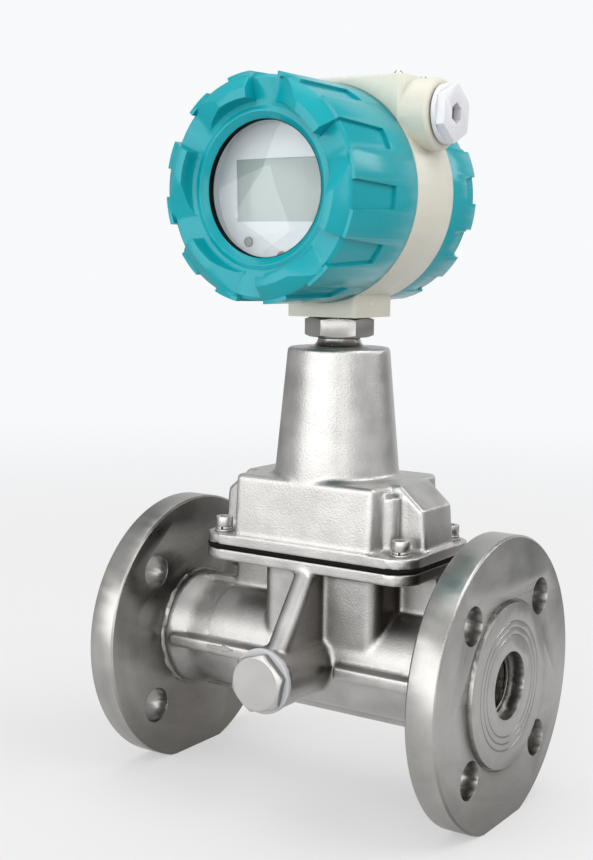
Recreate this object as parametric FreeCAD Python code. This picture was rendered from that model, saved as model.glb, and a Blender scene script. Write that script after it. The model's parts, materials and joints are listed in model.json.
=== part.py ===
import FreeCAD, Part
import math
import os
from FreeCAD import Vector

# Swirl vortex gas flow meter, 32 mm line size, with a turning transmitter head.
# The flow runs along +X. The origin is the middle of the inlet flange's face, on the flow axis.
# All sizes are in millimetres.

# Flanges
face_to_face = 200.0
flange_diameter = 140.0
flange_plate = 15.0
raised_face_diameter = 78.0
raised_face_height = 2.0
bolt_circle = 100.0
bolt_hole_diameter = 18.0
bolt_hole_count = 4
foot_flat = 3.5
foot_height = flange_diameter / 2 - foot_flat
flange_edge = 1.0
bore_diameter = 32.0
face_groove_count = 3
face_groove_first = 24.0
face_groove_pitch = 3.2
face_groove_width = 0.8
face_groove_depth = 0.4
relief_width = 1.2
relief_depth = 0.3

# Flow tube
pipe_diameter = 53.0
collar_diameter = 60.0
collar_length = 4.0
collar_taper = 9.0
ring_depth = 8.0
ring_thickness = 1.5
ring_groove_depth = 1.2
ring_inner_overhang = 0.6
ring_gap = 4.4
ring_eye_radius = 2.0
ring_eye_hole = 0.8
ring_eye_offset = 4.0
swirler_length = 32.0
straightener_length = 28.0
cartridge_wall = 1.8
cartridge_clearance = 0.05
vane_count = 6
vane_root = 1.5
vane_sink = 0.5
swirl_vane_thickness = 1.4
swirl_hub_radius = 4.5
swirl_hub_nose = 6.0
swirl_hub_inset = 2.0
swirl_twist = 48.0
swirl_steps = 4
straight_vane_thickness = 1.2
straight_hub_radius = 2.2
straight_vane_inset = 3.5
throat_diameter = 21.0
throat_before = 30.0
throat_after = 14.0
inlet_cone_length = 22.0
outlet_cone_length = 34.0

# Place of the neck, the cover and the head along the flow
neck_offset = 3.3
neck_x = face_to_face / 2 + neck_offset

# Ribs and web along the flow tube
rib_thickness = 6.0
rib_radius = 30.3
side_rib_reach = 32.5
rib_end_gap = 5.0
side_rib_break = 19.0
rib_nose = 2.8
web_thickness = 6.6
web_half_length = 59.0
web_bottom = 20.0

# Chamber under the cover
chamber_left = 28.0
chamber_right = 38.5
chamber_half_width = 24.5
chamber_corner = 7.0
plate_length = 120.0
plate_width = 68.0
plate_corner = 12.0
plate_thickness = 6.0
plate_top = 52.4
pocket_left = 23.0
pocket_right = 31.0
pocket_half_width = 17.0
pocket_floor = 34.0
pocket_corner = 4.0

# Side boss with its plug, and the pressure duct rib above it
boss_diameter = 30.0
boss_reach = 61.0
plug_hole_diameter = 20.0
plug_hole_depth = 18.0
plug_washer_diameter = 31.0
plug_washer_thickness = 2.5
plug_washer_gap = 0.2
plug_turn = 17.0
hex_face_inset = 0.6
hex_face_slope = 0.6
plug_hex = 25.0
plug_hex_corner = 28.4
plug_head_height = 5.2
plug_shank_length = 15.0
thread_clearance = 0.05
duct_rib_width = 12.0
duct_rib_offset = 2.6
duct_diameter = 4.0
duct_rib_foot_setback = 2.0
duct_rib_foot_drop = 3.0
duct_end_height = 3.0
duct_overlap = 2.0

# Cover, its gasket and its screws
gasket_thickness = 2.0
gasket_window_corner = 5.0
cover_flange_thickness = 5.2
box_half_length = 39.5
box_side_gap = 0.6
box_draft = 2.4
box_half_width_bottom = plate_width / 2 - box_side_gap
box_half_width_top = box_half_width_bottom - box_draft
box_top = 90.5
box_edge = 2.5
ridge_half_width = 14.5
ridge_half_length_bottom = plate_length / 2 - 1.0
ridge_half_length_knee = plate_length / 2 - 3.5
ridge_half_length_top = plate_length / 2 - 15.0
ridge_top_edge = 1.0
ridge_knee = 79.5
ridge_edge = 2.0
corner_rib_radius = 5.0
corner_rib_outset = 1.2
corner_rib_inset = 3.0
corner_rib_drop = 5.0
corner_rib_start = 2.0
cover_wall = 5.0
screw_half_spacing_x = plate_length / 2 - 9.0
screw_half_spacing_y = plate_width / 2 - 9.5
screw_diameter = 5.0
screw_clearance = 0.25
screw_head_diameter = 8.5
screw_head_height = 5.0
screw_socket = 4.0
screw_socket_depth = 2.6
screw_fit = 0.02
screw_end = 1.0
spring_washer_split = 1.0
spring_washer_turn = 200.0
spotface_clearance = 1.0
spring_washer_diameter = 8.8
spring_washer_thickness = 1.3
flat_washer_diameter = 10.0
flat_washer_thickness = 1.0
washer_gap = 0.15

# Neck
neck_base_radius = 30.8
neck_top_radius = 25.0
neck_top = 153.2
neck_wall = 5.0
neck_edge = 1.6
neck_sink = 3.0

# Stem and its nuts
stem_radius = 10.0
stem_bore_radius = 6.5
stem_collar_radius = 14.5
stem_collar_top = 157.6
stem_collar_rim = 0.3
stem_inner_length = 8.0
stem_inner_end = 1.0
stem_fit = 0.02
stem_top_gap = 1.0
nut_across_flats = 29.4
nut_height = 9.4
nut_gap = 0.6
nut_edge_drop = 1.3
nut_face_inset = 0.2
lock_nut_turn = 30.0
swivel_gap = 0.5
swivel_clearance = 0.05

# Transmitter head
foot_block_height = 58.15
cover_radius = 51.2
head_radius = cover_radius + 0.2
head_front = 16.2
head_back = 17.7
spigot_radius = cover_radius - 5.2
head_bore_radius = spigot_radius - 5.5
head_wall_front = 2.0
head_wall_back = 3.0
spigot_length = 12.0
cover_gap = 0.3
foot_block_half_length = 19.3
foot_block_half_width = 17.4
foot_block_edge = 2.0
foot_block_overlap = 30.0
stem_pocket = 2.0
top_block_half_length = 41.4
top_block_half_width = 16.8
top_block_cover = 0.65
top_block_depth = 40.0
top_block_edge = 2.5
conduit_rise = 35.95
conduit_radius = 16.6
conduit_start = 20.0
conduit_reach = 54.4
conduit_edge = 2.2
conduit_bore_radius = 10.0
wire_way_radius = 7.0
wire_way_drop = 22.0

# Conduit plugs
conduit_seal_thickness = 0.8
conduit_seal_radius = 13.0
conduit_seal_gap = 0.1
conduit_plug_turn = 54.5
conduit_plug_flange_radius = 13.7
conduit_plug_flange = 2.2
conduit_plug_hex = 23.6
conduit_plug_corner = 13.2
conduit_plug_head = 4.0
conduit_plug_shank = 12.0
conduit_plug_socket = 8.6
conduit_plug_socket_depth = 5.0

# Name plate on the head
plate_half_length = 40.4
plate_half_width = 15.0
name_plate_thickness = 0.6
rivet_radius = 2.5
rivet_height = 1.4
rivet_inset = 3.2
rivet_top = 0.5
name_plate_corner = 3.0

# Cutting shapes reach this far past what they cut; edges shorter than shortest_edge aren't rounded
cut_margin = 1.0
cutter_reach = 5.0
shortest_edge = 1.0
largest_lean = 0.2
ridge_edge_least = 8.0

# Threaded covers of the head. Each front has six lugs with a falling face at one end.
cover_front_reach = 75.2
ring_drop = 8.2
gap_floor_drop = 6.2
gap_floor_radius = cover_radius - 3.2
gap_edge_drop = 9.4
lug_count = 6
lug_phase = 86.1
lug_gap = 16.8
lug_rim_radius = cover_radius - 1.6
lug_shoulder_radius = cover_radius - 2.7
lug_outer_radius = cover_radius - 7.9
lug_inner_radius = lug_outer_radius - 4.2
lug_foot_radius = lug_inner_radius - 2.7
lug_fillet = 2.4
lug_shoulder_drop = 3.8
lug_rim_drop = 5.0
lug_fall_start = 21.0
lug_fall_before = 2.0
lug_fall_length = 26.0
lug_fall_slope = 0.48
lug_fall_tilt = 0.2
pad_angle = 14.3
pad_front_drop = 4.9
pad_back_drop = 10.4
pad_sink = 2.0
channel_end_angle = 11.3
channel_front_drop = 7.6
front_channel_length = 32.0
back_channel_length = 7.0
spigot_room = 1.5
window_radius = lug_foot_radius - 5.7
lip_radius = window_radius + 3.5
lip_rise = 0.6
lip_bevel_drop = 2.0
lip_crest_width = 1.0
lip_foot_width = 1.8
glass_radius = window_radius + 5.0
glass_thickness = 5.0
glass_seat_wall = 4.0
glass_clearance = 0.1
glass_gasket_thickness = 1.0
clamp_ring_radius = glass_radius + 4.0
clamp_ring_inner = window_radius + 4.3
clamp_ring_thickness = 3.0
clamp_ring_fit = 0.05
clamp_notch_angle = 8.0
clamp_notch_depth = 1.5
clamp_notch_width = 3.5
cover_inner_radius = spigot_radius - 1.5
cover_end_wall = 5.0
back_end_gap = 4.0
cover_back_reach = head_back + spigot_length + back_end_gap + cover_end_wall + ring_drop
gasket_window_gap = 0.6
o_ring_radius = 1.3
o_ring_back = 3.2
o_ring_side_gap = 0.1

# Display behind the window
face_plate_radius = cover_inner_radius - 1.5
face_plate_thickness = 1.6
display_gap = 6.0
face_rim_radius = window_radius + 3.9
face_rim_wall = 0.9
face_rim_height = 8.2
module_radius = face_plate_radius - 5.0
module_depth = 14.0
board_thickness = 1.6
board_radius = head_bore_radius - 1.0
lcd_half_length = 24.2
lcd_height = 26.4
lcd_drop = 13.0
lcd_recess = 0.5
key_radius = 2.05
key_circle = 27.8
key_angles = (-128.6, -90.0, -51.4)
key_shift = -1.0
key_rise = 0.8
key_length = 4.0
key_clearance = 0.25
key_travel = 0.5
post_radius = 3.0
post_circle = 33.0
post_count = 4

# Terminals in the back chamber of the head
terminal_half_length = 24.0
terminal_depth = 12.0
terminal_height = 20.0
terminal_count = 6
terminal_screw_radius = 2.6
terminal_screw_rise = 1.0
terminal_screw_height = 2.0
terminal_slot = 0.8
terminal_slot_start = 0.4
terminal_step_depth = 4.0
terminal_step_height = 6.0

# Sensors in the chamber pocket
probe_radius = 6.0
probe_flange_radius = 8.5
probe_flange = 4.0
probe_blade_width = 8.0
probe_blade_thickness = 2.4
probe_blade_drop = 14.0
probe_lead_radius = 3.0
probe_lead = 9.0
probe_fit = 0.02
probe_end_gap = 1.0
clamp_half_length = 15.0
clamp_half_width = 8.0
clamp_thickness = 4.0
clamp_screw_spacing = 11.5
clamp_screw_radius = 1.5
clamp_screw_depth = 7.0
clamp_screw_head = 2.8
clamp_screw_head_height = 3.0
clamp_screw_socket = 2.5
clamp_screw_socket_depth = 1.6
clamp_corner = 3.0
clamp_lead_gap = 0.5
clamp_screw_gap = 0.2
thermometer_offset = 22.0
thermometer_radius = 3.0
thermometer_drop = 4.0
thermometer_hex = 10.0
thermometer_head = 5.0
sensor_lead_radius = 2.0
thermometer_lead = 5.0
pressure_offset = 15.6
pressure_radius = 5.8
pressure_height = 9.0
pressure_lead = 3.0
pressure_port_radius = 1.5
pressure_port_depth = 9.0
pressure_duct_overlap = 2.0

# Heights and places worked out from the sizes above
flange_depth = flange_plate + raised_face_height
bore_radius = bore_diameter / 2
plate_bottom = plate_top - plate_thickness
gasket_top = plate_top + gasket_thickness
cover_seat = gasket_top + cover_flange_thickness
cover_opening_x = box_half_length - cover_wall
cover_opening_y = box_half_width_top - cover_wall
nut_bottom = stem_collar_top + nut_gap
nut_top = nut_bottom + nut_height
head_bottom = nut_top + swivel_gap
head_height = head_bottom + foot_block_height
stem_top = head_height - head_bore_radius - stem_top_gap
conduit_height = head_height + conduit_rise
top_block_top = conduit_height + conduit_radius + top_block_cover
lcd_bottom = head_height - lcd_drop
glass_seat = cover_front_reach - ring_drop - glass_seat_wall
glass_front = glass_seat - glass_gasket_thickness
glass_back = glass_front - glass_thickness
face_plate_reach = glass_back - clamp_ring_thickness - display_gap
board_front = face_plate_reach - face_plate_thickness - module_depth
X = Vector(1, 0, 0)
Y = Vector(0, 1, 0)
Z = Vector(0, 0, 1)
FRONT = Vector(0, -1, 0)


def block(x0, x1, y0, y1, z0, z1):
    return Part.makeBox(x1 - x0, y1 - y0, z1 - z0, Vector(x0, y0, z0))


def rod(x, y, z, axis, radius, length):
    return Part.makeCylinder(radius, length, Vector(x, y, z), axis)


def flow_rod(x0, x1, radius, y=0.0, z=0.0):
    return rod(x0, y, z, X, radius, x1 - x0)


def upright_rod(x, y, z0, z1, radius):
    return rod(x, y, z0, Z, radius, z1 - z0)


def head_rod(reach0, reach1, radius, x=neck_x, z=head_height):
    # reach is counted towards the front of the head
    return rod(x, -reach0, z, FRONT, radius, reach1 - reach0)


def joined(first, *others):
    shape = first.fuse(list(others)) if others else first
    return shape.removeSplitter()


def rounded_plate(cx, cy, length, width, corner, z0, z1):
    x0, x1 = cx - length / 2, cx + length / 2
    y0, y1 = cy - width / 2, cy + width / 2
    c = corner
    k = c * (1 - math.sqrt(0.5))
    edges = [
        Part.makeLine(Vector(x0 + c, y0, z0), Vector(x1 - c, y0, z0)),
        Part.Arc(Vector(x1 - c, y0, z0), Vector(x1 - k, y0 + k, z0), Vector(x1, y0 + c, z0)).toShape(),
        Part.makeLine(Vector(x1, y0 + c, z0), Vector(x1, y1 - c, z0)),
        Part.Arc(Vector(x1, y1 - c, z0), Vector(x1 - k, y1 - k, z0), Vector(x1 - c, y1, z0)).toShape(),
        Part.makeLine(Vector(x1 - c, y1, z0), Vector(x0 + c, y1, z0)),
        Part.Arc(Vector(x0 + c, y1, z0), Vector(x0 + k, y1 - k, z0), Vector(x0, y1 - c, z0)).toShape(),
        Part.makeLine(Vector(x0, y1 - c, z0), Vector(x0, y0 + c, z0)),
        Part.Arc(Vector(x0, y0 + c, z0), Vector(x0 + k, y0 + k, z0), Vector(x0 + c, y0, z0)).toShape(),
    ]
    return Part.Face(Part.Wire(edges)).extrude(Vector(0, 0, z1 - z0))


def turned(points, centre, axis, out):
    # points are (distance along the axis, radius) round the section
    corners = [centre + axis * a + out * r for a, r in points]
    face = Part.Face(Part.makePolygon(corners + corners[:1]))
    return face.revolve(centre, axis, 360)


def turned_on_flow(points):
    return turned(points, Vector(0, 0, 0), X, Z)


def turned_upright(points):
    return turned(points, Vector(neck_x, 0, 0), Z, X)


def turned_on_head(points):
    return turned(points, Vector(neck_x, 0, head_height), FRONT, X)


def across(axis):
    return X if abs(axis.z) > 0.5 else Z


def hexagon(centre, axis, across_flats, height, turn=0.0):
    radius = across_flats / math.sqrt(3)
    side = across(axis)
    other = axis.cross(side)
    corners = []
    for i in range(6):
        a = math.radians(60 * i + turn)
        corners.append(centre + side * (radius * math.cos(a)) + other * (radius * math.sin(a)))
    face = Part.Face(Part.makePolygon(corners + corners[:1]))
    return face.extrude(axis * height)


def rounded_edges(shape, radius, wanted):
    edges = [e for e in shape.Edges if wanted(e)]
    return shape.makeFillet(radius, edges) if edges else shape


def is_upright(edge):
    # true for edges that climb much more than they lean
    a, b = edge.Vertexes[0].Point, edge.Vertexes[-1].Point
    lean = abs(a.x - b.x) + abs(a.y - b.y)
    return abs(a.z - b.z) > shortest_edge and lean < largest_lean * abs(a.z - b.z)


def is_long_end_edge(edge):
    # true for edges along the ridge's profile, above the cover's rim
    box = edge.BoundBox
    if box.ZMax < gasket_top + shortest_edge or box.YLength > shortest_edge:
        return False
    return edge.Length > ridge_edge_least


def ends_at(edge, x):
    box = edge.BoundBox
    return abs(box.XMin - x) < largest_lean and abs(box.XMax - x) < largest_lean


def screw_places():
    places = []
    for sx in (-1, 1):
        for sy in (-1, 1):
            places.append((neck_x + sx * screw_half_spacing_x, sy * screw_half_spacing_y))
    return places


def flange(outer_x, inward):
    # inward is +1 at the inlet and -1 at the outlet
    r = flange_diameter / 2
    e = flange_edge
    raised = raised_face_diameter / 2
    relief = raised_face_height + relief_depth
    points = [(0, bore_radius)]
    for i in range(face_groove_count):
        middle = face_groove_first + face_groove_pitch * i
        points.append((0, middle - face_groove_width / 2))
        points.append((face_groove_depth, middle))
        points.append((0, middle + face_groove_width / 2))
    points += [(0, raised), (relief, raised), (relief, raised + relief_width),
               (raised_face_height, raised + relief_width), (raised_face_height, r - e),
               (raised_face_height + e, r), (flange_depth - e, r), (flange_depth, r - e),
               (flange_depth, bore_radius)]
    shape = turned_on_flow([(outer_x + inward * a, b) for a, b in points])
    x0, x1 = sorted((outer_x, outer_x + inward * flange_depth))
    cuts = [block(x0, x1, -r, r, -r, -foot_height)]
    for i in range(bolt_hole_count):
        a = math.radians(360 / bolt_hole_count * (i + 0.5))
        y = bolt_circle / 2 * math.cos(a)
        z = bolt_circle / 2 * math.sin(a)
        cuts.append(flow_rod(x0, x1, bolt_hole_diameter / 2, y, z))
    cuts.append(ring_groove(outer_x, inward))
    return shape.cut(cuts)


def ring_groove(outer_x, inward):
    x0, x1 = sorted((outer_x + inward * ring_depth, outer_x + inward * (ring_depth + ring_thickness)))
    return flow_rod(x0, x1, bore_radius + ring_groove_depth)


def retaining_ring(outer_x, inward):
    # a spring ring with a gap and two eyes, sitting in the groove of the flange
    x0, x1 = sorted((outer_x + inward * ring_depth, outer_x + inward * (ring_depth + ring_thickness)))
    outer = bore_radius + ring_groove_depth
    inner = bore_radius - cartridge_wall - ring_inner_overhang
    ring = flow_rod(x0, x1, outer).cut(flow_rod(x0, x1, inner))
    ring = ring.cut(block(x0, x1, -ring_gap / 2, ring_gap / 2, 0, outer + 1))
    eyes = []
    for side in (-1, 1):
        y = side * ring_eye_offset
        eye = flow_rod(x0, x1, ring_eye_radius, y, inner)
        eyes.append(eye.cut(flow_rod(x0, x1, ring_eye_hole, y, inner)))
    return joined(ring, *eyes)


def swirl_start():
    return ring_depth + ring_thickness


def flow_cavity():
    seat_end = swirl_start() + swirler_length
    lip = bore_radius - cartridge_wall
    throat = throat_diameter / 2
    throat_start = neck_x - throat_before
    throat_end = neck_x + throat_after
    straight_start = face_to_face - swirl_start() - straightener_length
    points = [(0, 0), (0, bore_radius), (seat_end, bore_radius), (seat_end, lip),
              (throat_start - inlet_cone_length, lip), (throat_start, throat), (throat_end, throat),
              (throat_end + outlet_cone_length, lip), (straight_start, lip),
              (straight_start, bore_radius), (face_to_face, bore_radius), (face_to_face, 0)]
    return turned_on_flow(points)


def tube_outside():
    x0 = flange_depth
    x1 = face_to_face - flange_depth
    big = collar_diameter / 2
    small = pipe_diameter / 2
    c = collar_length
    t = collar_length + collar_taper
    points = [(x0, 0), (x0, big), (x0 + c, big), (x0 + t, small), (x1 - t, small),
              (x1 - c, big), (x1, big), (x1, 0)]
    return turned_on_flow(points)


def side_ribs():
    x0 = flange_depth
    x1 = face_to_face - flange_depth
    t = rib_thickness / 2
    gap = rib_end_gap
    upright = block(x0 + gap, x1 - gap, -t, t, -rib_radius, rib_radius)
    back = block(x0 + gap, x1, 0, side_rib_reach, -t, t)
    left = block(x0 + gap, neck_x, -side_rib_reach, 0, -t, t)
    left = rounded_edges(left, rib_nose, lambda e: e.BoundBox.XLength < 0.01
                         and e.BoundBox.YLength > rib_thickness and e.CenterOfMass.x < neck_x - t)
    right = block(neck_x + side_rib_break, x1, -side_rib_reach, 0, -t, t)
    return [upright, back, left, right]


def duct_rib():
    # the slanting rib with the pressure duct, from the plate's edge down to the end of the boss
    x = neck_x + duct_rib_offset
    r = duct_rib_width / 2
    top_y = -plate_width / 2 + r
    foot_y = -boss_reach + r + duct_rib_foot_setback
    foot_z = boss_diameter / 2 - duct_rib_foot_drop
    top = Vector(x, top_y, plate_bottom)
    foot = Vector(x, foot_y, foot_z)
    along = foot - top
    length = along.Length
    along.normalize()
    nose = Part.makeCylinder(r, length + r, top - along * r, along)
    nose = nose.cut(block(x - r, x + r, top_y - r, top_y + r, plate_bottom, plate_top + r))
    corners = [Vector(x - r, top_y, plate_bottom), Vector(x - r, foot_y, foot_z),
               Vector(x - r, foot_y, 0), Vector(x - r, 0, 0), Vector(x - r, 0, plate_bottom)]
    wall = Part.Face(Part.makePolygon(corners + corners[:1])).extrude(Vector(duct_rib_width, 0, 0))
    return [nose, wall]


def meter_body():
    cx = neck_x + (chamber_right - chamber_left) / 2
    chamber = rounded_plate(cx, 0, chamber_left + chamber_right, 2 * chamber_half_width,
                            chamber_corner, 0, plate_bottom)
    plate = rounded_plate(neck_x, 0, plate_length, plate_width, plate_corner, plate_bottom, plate_top)
    t = web_thickness / 2
    web = block(neck_x - web_half_length, neck_x + web_half_length, -t, t, web_bottom, plate_bottom)
    boss = rod(neck_x, 0, 0, FRONT, boss_diameter / 2, boss_reach)
    body = joined(tube_outside(), chamber, plate, web, boss, *side_ribs(), *duct_rib())
    pocket = rounded_plate(neck_x + (pocket_right - pocket_left) / 2, 0, pocket_left + pocket_right,
                           2 * pocket_half_width, pocket_corner, pocket_floor, plate_top)
    plug_hole = rod(neck_x, -boss_reach, 0, Y, plug_hole_diameter / 2, plug_hole_depth)
    duct_start = Vector(neck_x, -boss_reach + plug_hole_depth - duct_overlap, duct_end_height)
    duct_end = Vector(neck_x - pressure_offset, 0,
                      pocket_floor - pressure_port_depth + pressure_duct_overlap)
    way = duct_end - duct_start
    cuts = [flow_cavity(), pocket, plug_hole]
    cuts.append(Part.makeCylinder(duct_diameter / 2, way.Length, duct_start, way))
    cuts.append(upright_rod(neck_x - pressure_offset, 0, pocket_floor - pressure_port_depth,
                            pocket_floor, pressure_port_radius))
    cuts.append(upright_rod(neck_x, 0, 0, pocket_floor, probe_radius))
    cuts.append(upright_rod(neck_x + thermometer_offset, 0, 0, pocket_floor, thermometer_radius))
    for x, y in screw_places():
        cuts.append(upright_rod(x, y, plate_bottom, plate_top, screw_diameter / 2))
    for side in (-1, 1):
        cuts.append(upright_rod(neck_x, side * clamp_screw_spacing, pocket_floor - clamp_screw_depth,
                                pocket_floor, clamp_screw_radius))
    return body.cut(cuts)


def cartridge_ring(x0, x1):
    outer = bore_radius - cartridge_clearance
    inner = bore_radius - cartridge_wall
    return flow_rod(x0, x1, outer).cut(flow_rod(x0, x1, inner))


def vane_section(x, turn, inner, outer, thickness):
    a = math.radians(turn)
    radial = Vector(0, math.cos(a), math.sin(a))
    side = Vector(0, -math.sin(a), math.cos(a)) * (thickness / 2)
    centre = Vector(x, 0, 0)
    corners = [centre + radial * inner - side, centre + radial * outer - side,
               centre + radial * outer + side, centre + radial * inner + side]
    return Part.makePolygon(corners + corners[:1])


def swirler():
    # vanes that turn the gas, on a pointed hub inside a thin ring
    x0 = swirl_start()
    x1 = x0 + swirler_length
    hub_start = x0 + swirl_hub_inset
    hub_full = hub_start + swirl_hub_nose
    hub_end = x1 - swirl_hub_inset
    hub = turned_on_flow([(hub_start, 0), (hub_full, swirl_hub_radius), (hub_end, swirl_hub_radius),
                          (hub_end, 0)])
    outer = bore_radius - cartridge_wall + vane_sink
    vanes = []
    for i in range(vane_count):
        sections = []
        for k in range(swirl_steps + 1):
            part_way = k / swirl_steps
            x = hub_full + (hub_end - swirl_hub_inset - hub_full) * part_way
            turn = 360 / vane_count * i + swirl_twist * part_way
            sections.append(vane_section(x, turn, swirl_hub_radius - vane_root, outer,
                                         swirl_vane_thickness))
        vanes.append(Part.makeLoft(sections, True, True))
    return joined(cartridge_ring(x0, x1), hub, *vanes)


def straightener():
    x1 = face_to_face - swirl_start()
    x0 = x1 - straightener_length
    start = x0 + straight_vane_inset
    length = straightener_length - 2 * straight_vane_inset
    hub = flow_rod(start, start + length, straight_hub_radius)
    outer = bore_radius - cartridge_wall + vane_sink
    vanes = []
    for i in range(vane_count):
        turn = 360 / vane_count * (i + 0.5)
        section = vane_section(start, turn, straight_hub_radius / 2, outer, straight_vane_thickness)
        vanes.append(Part.Face(section).extrude(X * length))
    return joined(cartridge_ring(x0, x1), hub, *vanes)


def sensor_probe():
    # the shank ends just short of the throat, and only the blade reaches into it
    z = pocket_floor
    throat_crown = throat_diameter / 2
    blade_bottom = throat_crown - probe_blade_drop
    shank_end = throat_crown + probe_end_gap
    t = probe_blade_thickness / 2
    w = probe_blade_width / 2
    parts = [upright_rod(neck_x, 0, shank_end, z, probe_radius - probe_fit),
             block(neck_x - w, neck_x + w, -t, t, blade_bottom, shank_end + probe_end_gap),
             upright_rod(neck_x, 0, z, z + probe_flange, probe_flange_radius),
             upright_rod(neck_x, 0, z + probe_flange, z + probe_flange + probe_lead, probe_lead_radius)]
    return joined(*parts)


def probe_clamp():
    z = pocket_floor + probe_flange
    plate = rounded_plate(neck_x, 0, 2 * clamp_half_width, 2 * clamp_half_length, clamp_corner,
                          z, z + clamp_thickness)
    cuts = [upright_rod(neck_x, 0, z, z + clamp_thickness, probe_lead_radius + clamp_lead_gap)]
    for side in (-1, 1):
        cuts.append(upright_rod(neck_x, side * clamp_screw_spacing, z, z + clamp_thickness,
                                clamp_screw_radius + clamp_screw_gap))
    return plate.cut(cuts)


def clamp_screws():
    z = pocket_floor + probe_flange + clamp_thickness
    screws = []
    for side in (-1, 1):
        y = side * clamp_screw_spacing
        shank = upright_rod(neck_x, y, pocket_floor - clamp_screw_depth, z, clamp_screw_radius)
        head = upright_rod(neck_x, y, z, z + clamp_screw_head_height, clamp_screw_head)
        socket_z = z + clamp_screw_head_height - clamp_screw_socket_depth
        socket = hexagon(Vector(neck_x, y, socket_z), Z, clamp_screw_socket, clamp_screw_socket_depth)
        screws.append(joined(shank, head).cut(socket))
    return Part.makeCompound(screws)


def thermometer():
    x = neck_x + thermometer_offset
    z = pocket_floor
    tube = upright_rod(x, 0, thermometer_drop, z, thermometer_radius)
    head = hexagon(Vector(x, 0, z), Z, thermometer_hex, thermometer_head)
    lead = upright_rod(x, 0, z + thermometer_head, z + thermometer_head + thermometer_lead,
                       sensor_lead_radius)
    return joined(tube, head, lead)


def pressure_sensor():
    x = neck_x - pressure_offset
    z = pocket_floor
    can = upright_rod(x, 0, z, z + pressure_height, pressure_radius)
    lead = upright_rod(x, 0, z + pressure_height, z + pressure_height + pressure_lead, sensor_lead_radius)
    return joined(can, lead)


def plug_washer():
    disc = rod(neck_x, -boss_reach, 0, FRONT, plug_washer_diameter / 2, plug_washer_thickness)
    hole_radius = plug_hole_diameter / 2 + plug_washer_gap
    return disc.cut(rod(neck_x, -boss_reach, 0, FRONT, hole_radius, plug_washer_thickness))


def chamfered_hex(centre, axis, across_flats, height, corner_radius, turn):
    # a bolt head whose corners are turned off at its outer end
    prism = hexagon(centre, axis, across_flats, height, turn)
    corner = across_flats / math.sqrt(3)
    drop = (corner - corner_radius + hex_face_inset) * hex_face_slope
    turned_head = turned([(0, 0), (0, corner + 1), (height - drop, corner + 1),
                          (height, corner_radius - hex_face_inset), (height, 0)],
                         centre, axis, across(axis))
    return prism.common(turned_head)


def side_plug():
    front = Vector(neck_x, -boss_reach - plug_washer_thickness, 0)
    head = chamfered_hex(front, FRONT, plug_hex, plug_head_height, plug_hex_corner / 2, plug_turn)
    shank = Part.makeCylinder(plug_hole_diameter / 2 - thread_clearance,
                              plug_shank_length + plug_washer_thickness, front, Y)
    return joined(head, shank)


def cover_gasket():
    sheet = rounded_plate(neck_x, 0, plate_length, plate_width, plate_corner, plate_top, gasket_top)
    cuts = [rounded_plate(neck_x, 0, 2 * cover_opening_x, 2 * cover_opening_y, gasket_window_corner,
                          plate_top, gasket_top)]
    for x, y in screw_places():
        cuts.append(upright_rod(x, y, plate_top, gasket_top, screw_diameter / 2 + screw_clearance))
    return sheet.cut(cuts)


def rectangle_wire(x0, x1, y0, y1, z):
    corners = [Vector(x0, y0, z), Vector(x1, y0, z), Vector(x1, y1, z), Vector(x0, y1, z)]
    return Part.makePolygon(corners + corners[:1])


def drafted_box(grow):
    # the tall middle of the cover; grow is negative for its hollow
    xb = box_half_length + grow
    yb = box_half_width_bottom + grow
    yt = box_half_width_top + grow
    z0 = gasket_top
    z1 = box_top + grow
    low = rectangle_wire(neck_x - xb, neck_x + xb, -yb, yb, z0)
    high = rectangle_wire(neck_x - xb, neck_x + xb, -yt, yt, z1)
    return Part.makeLoft([low, high], True, True)


def ridge(grow):
    # the long hump between the screw pockets, with sloping shoulders
    w = ridge_half_width + grow
    top = box_top + grow
    a = ridge_half_length_bottom + grow
    b = ridge_half_length_knee + grow
    c = ridge_half_length_top + grow
    e = ridge_top_edge
    profile = [(-a, gasket_top), (a, gasket_top), (b, ridge_knee + grow), (c, top - e), (c - e, top),
               (e - c, top), (-c, top - e), (-b, ridge_knee + grow)]
    corners = [Vector(neck_x + x, -w, z) for x, z in profile]
    return Part.Face(Part.makePolygon(corners + corners[:1])).extrude(Vector(0, 2 * w, 0))


def neck_cone(grow, z0, z1):
    slope = (neck_base_radius - neck_top_radius) / (neck_top - box_top)
    r0 = neck_base_radius + grow - slope * (z0 - box_top)
    r1 = neck_base_radius + grow - slope * (z1 - box_top)
    return Part.makeCone(r0, r1, z1 - z0, Vector(neck_x, 0, z0), Z)


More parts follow.
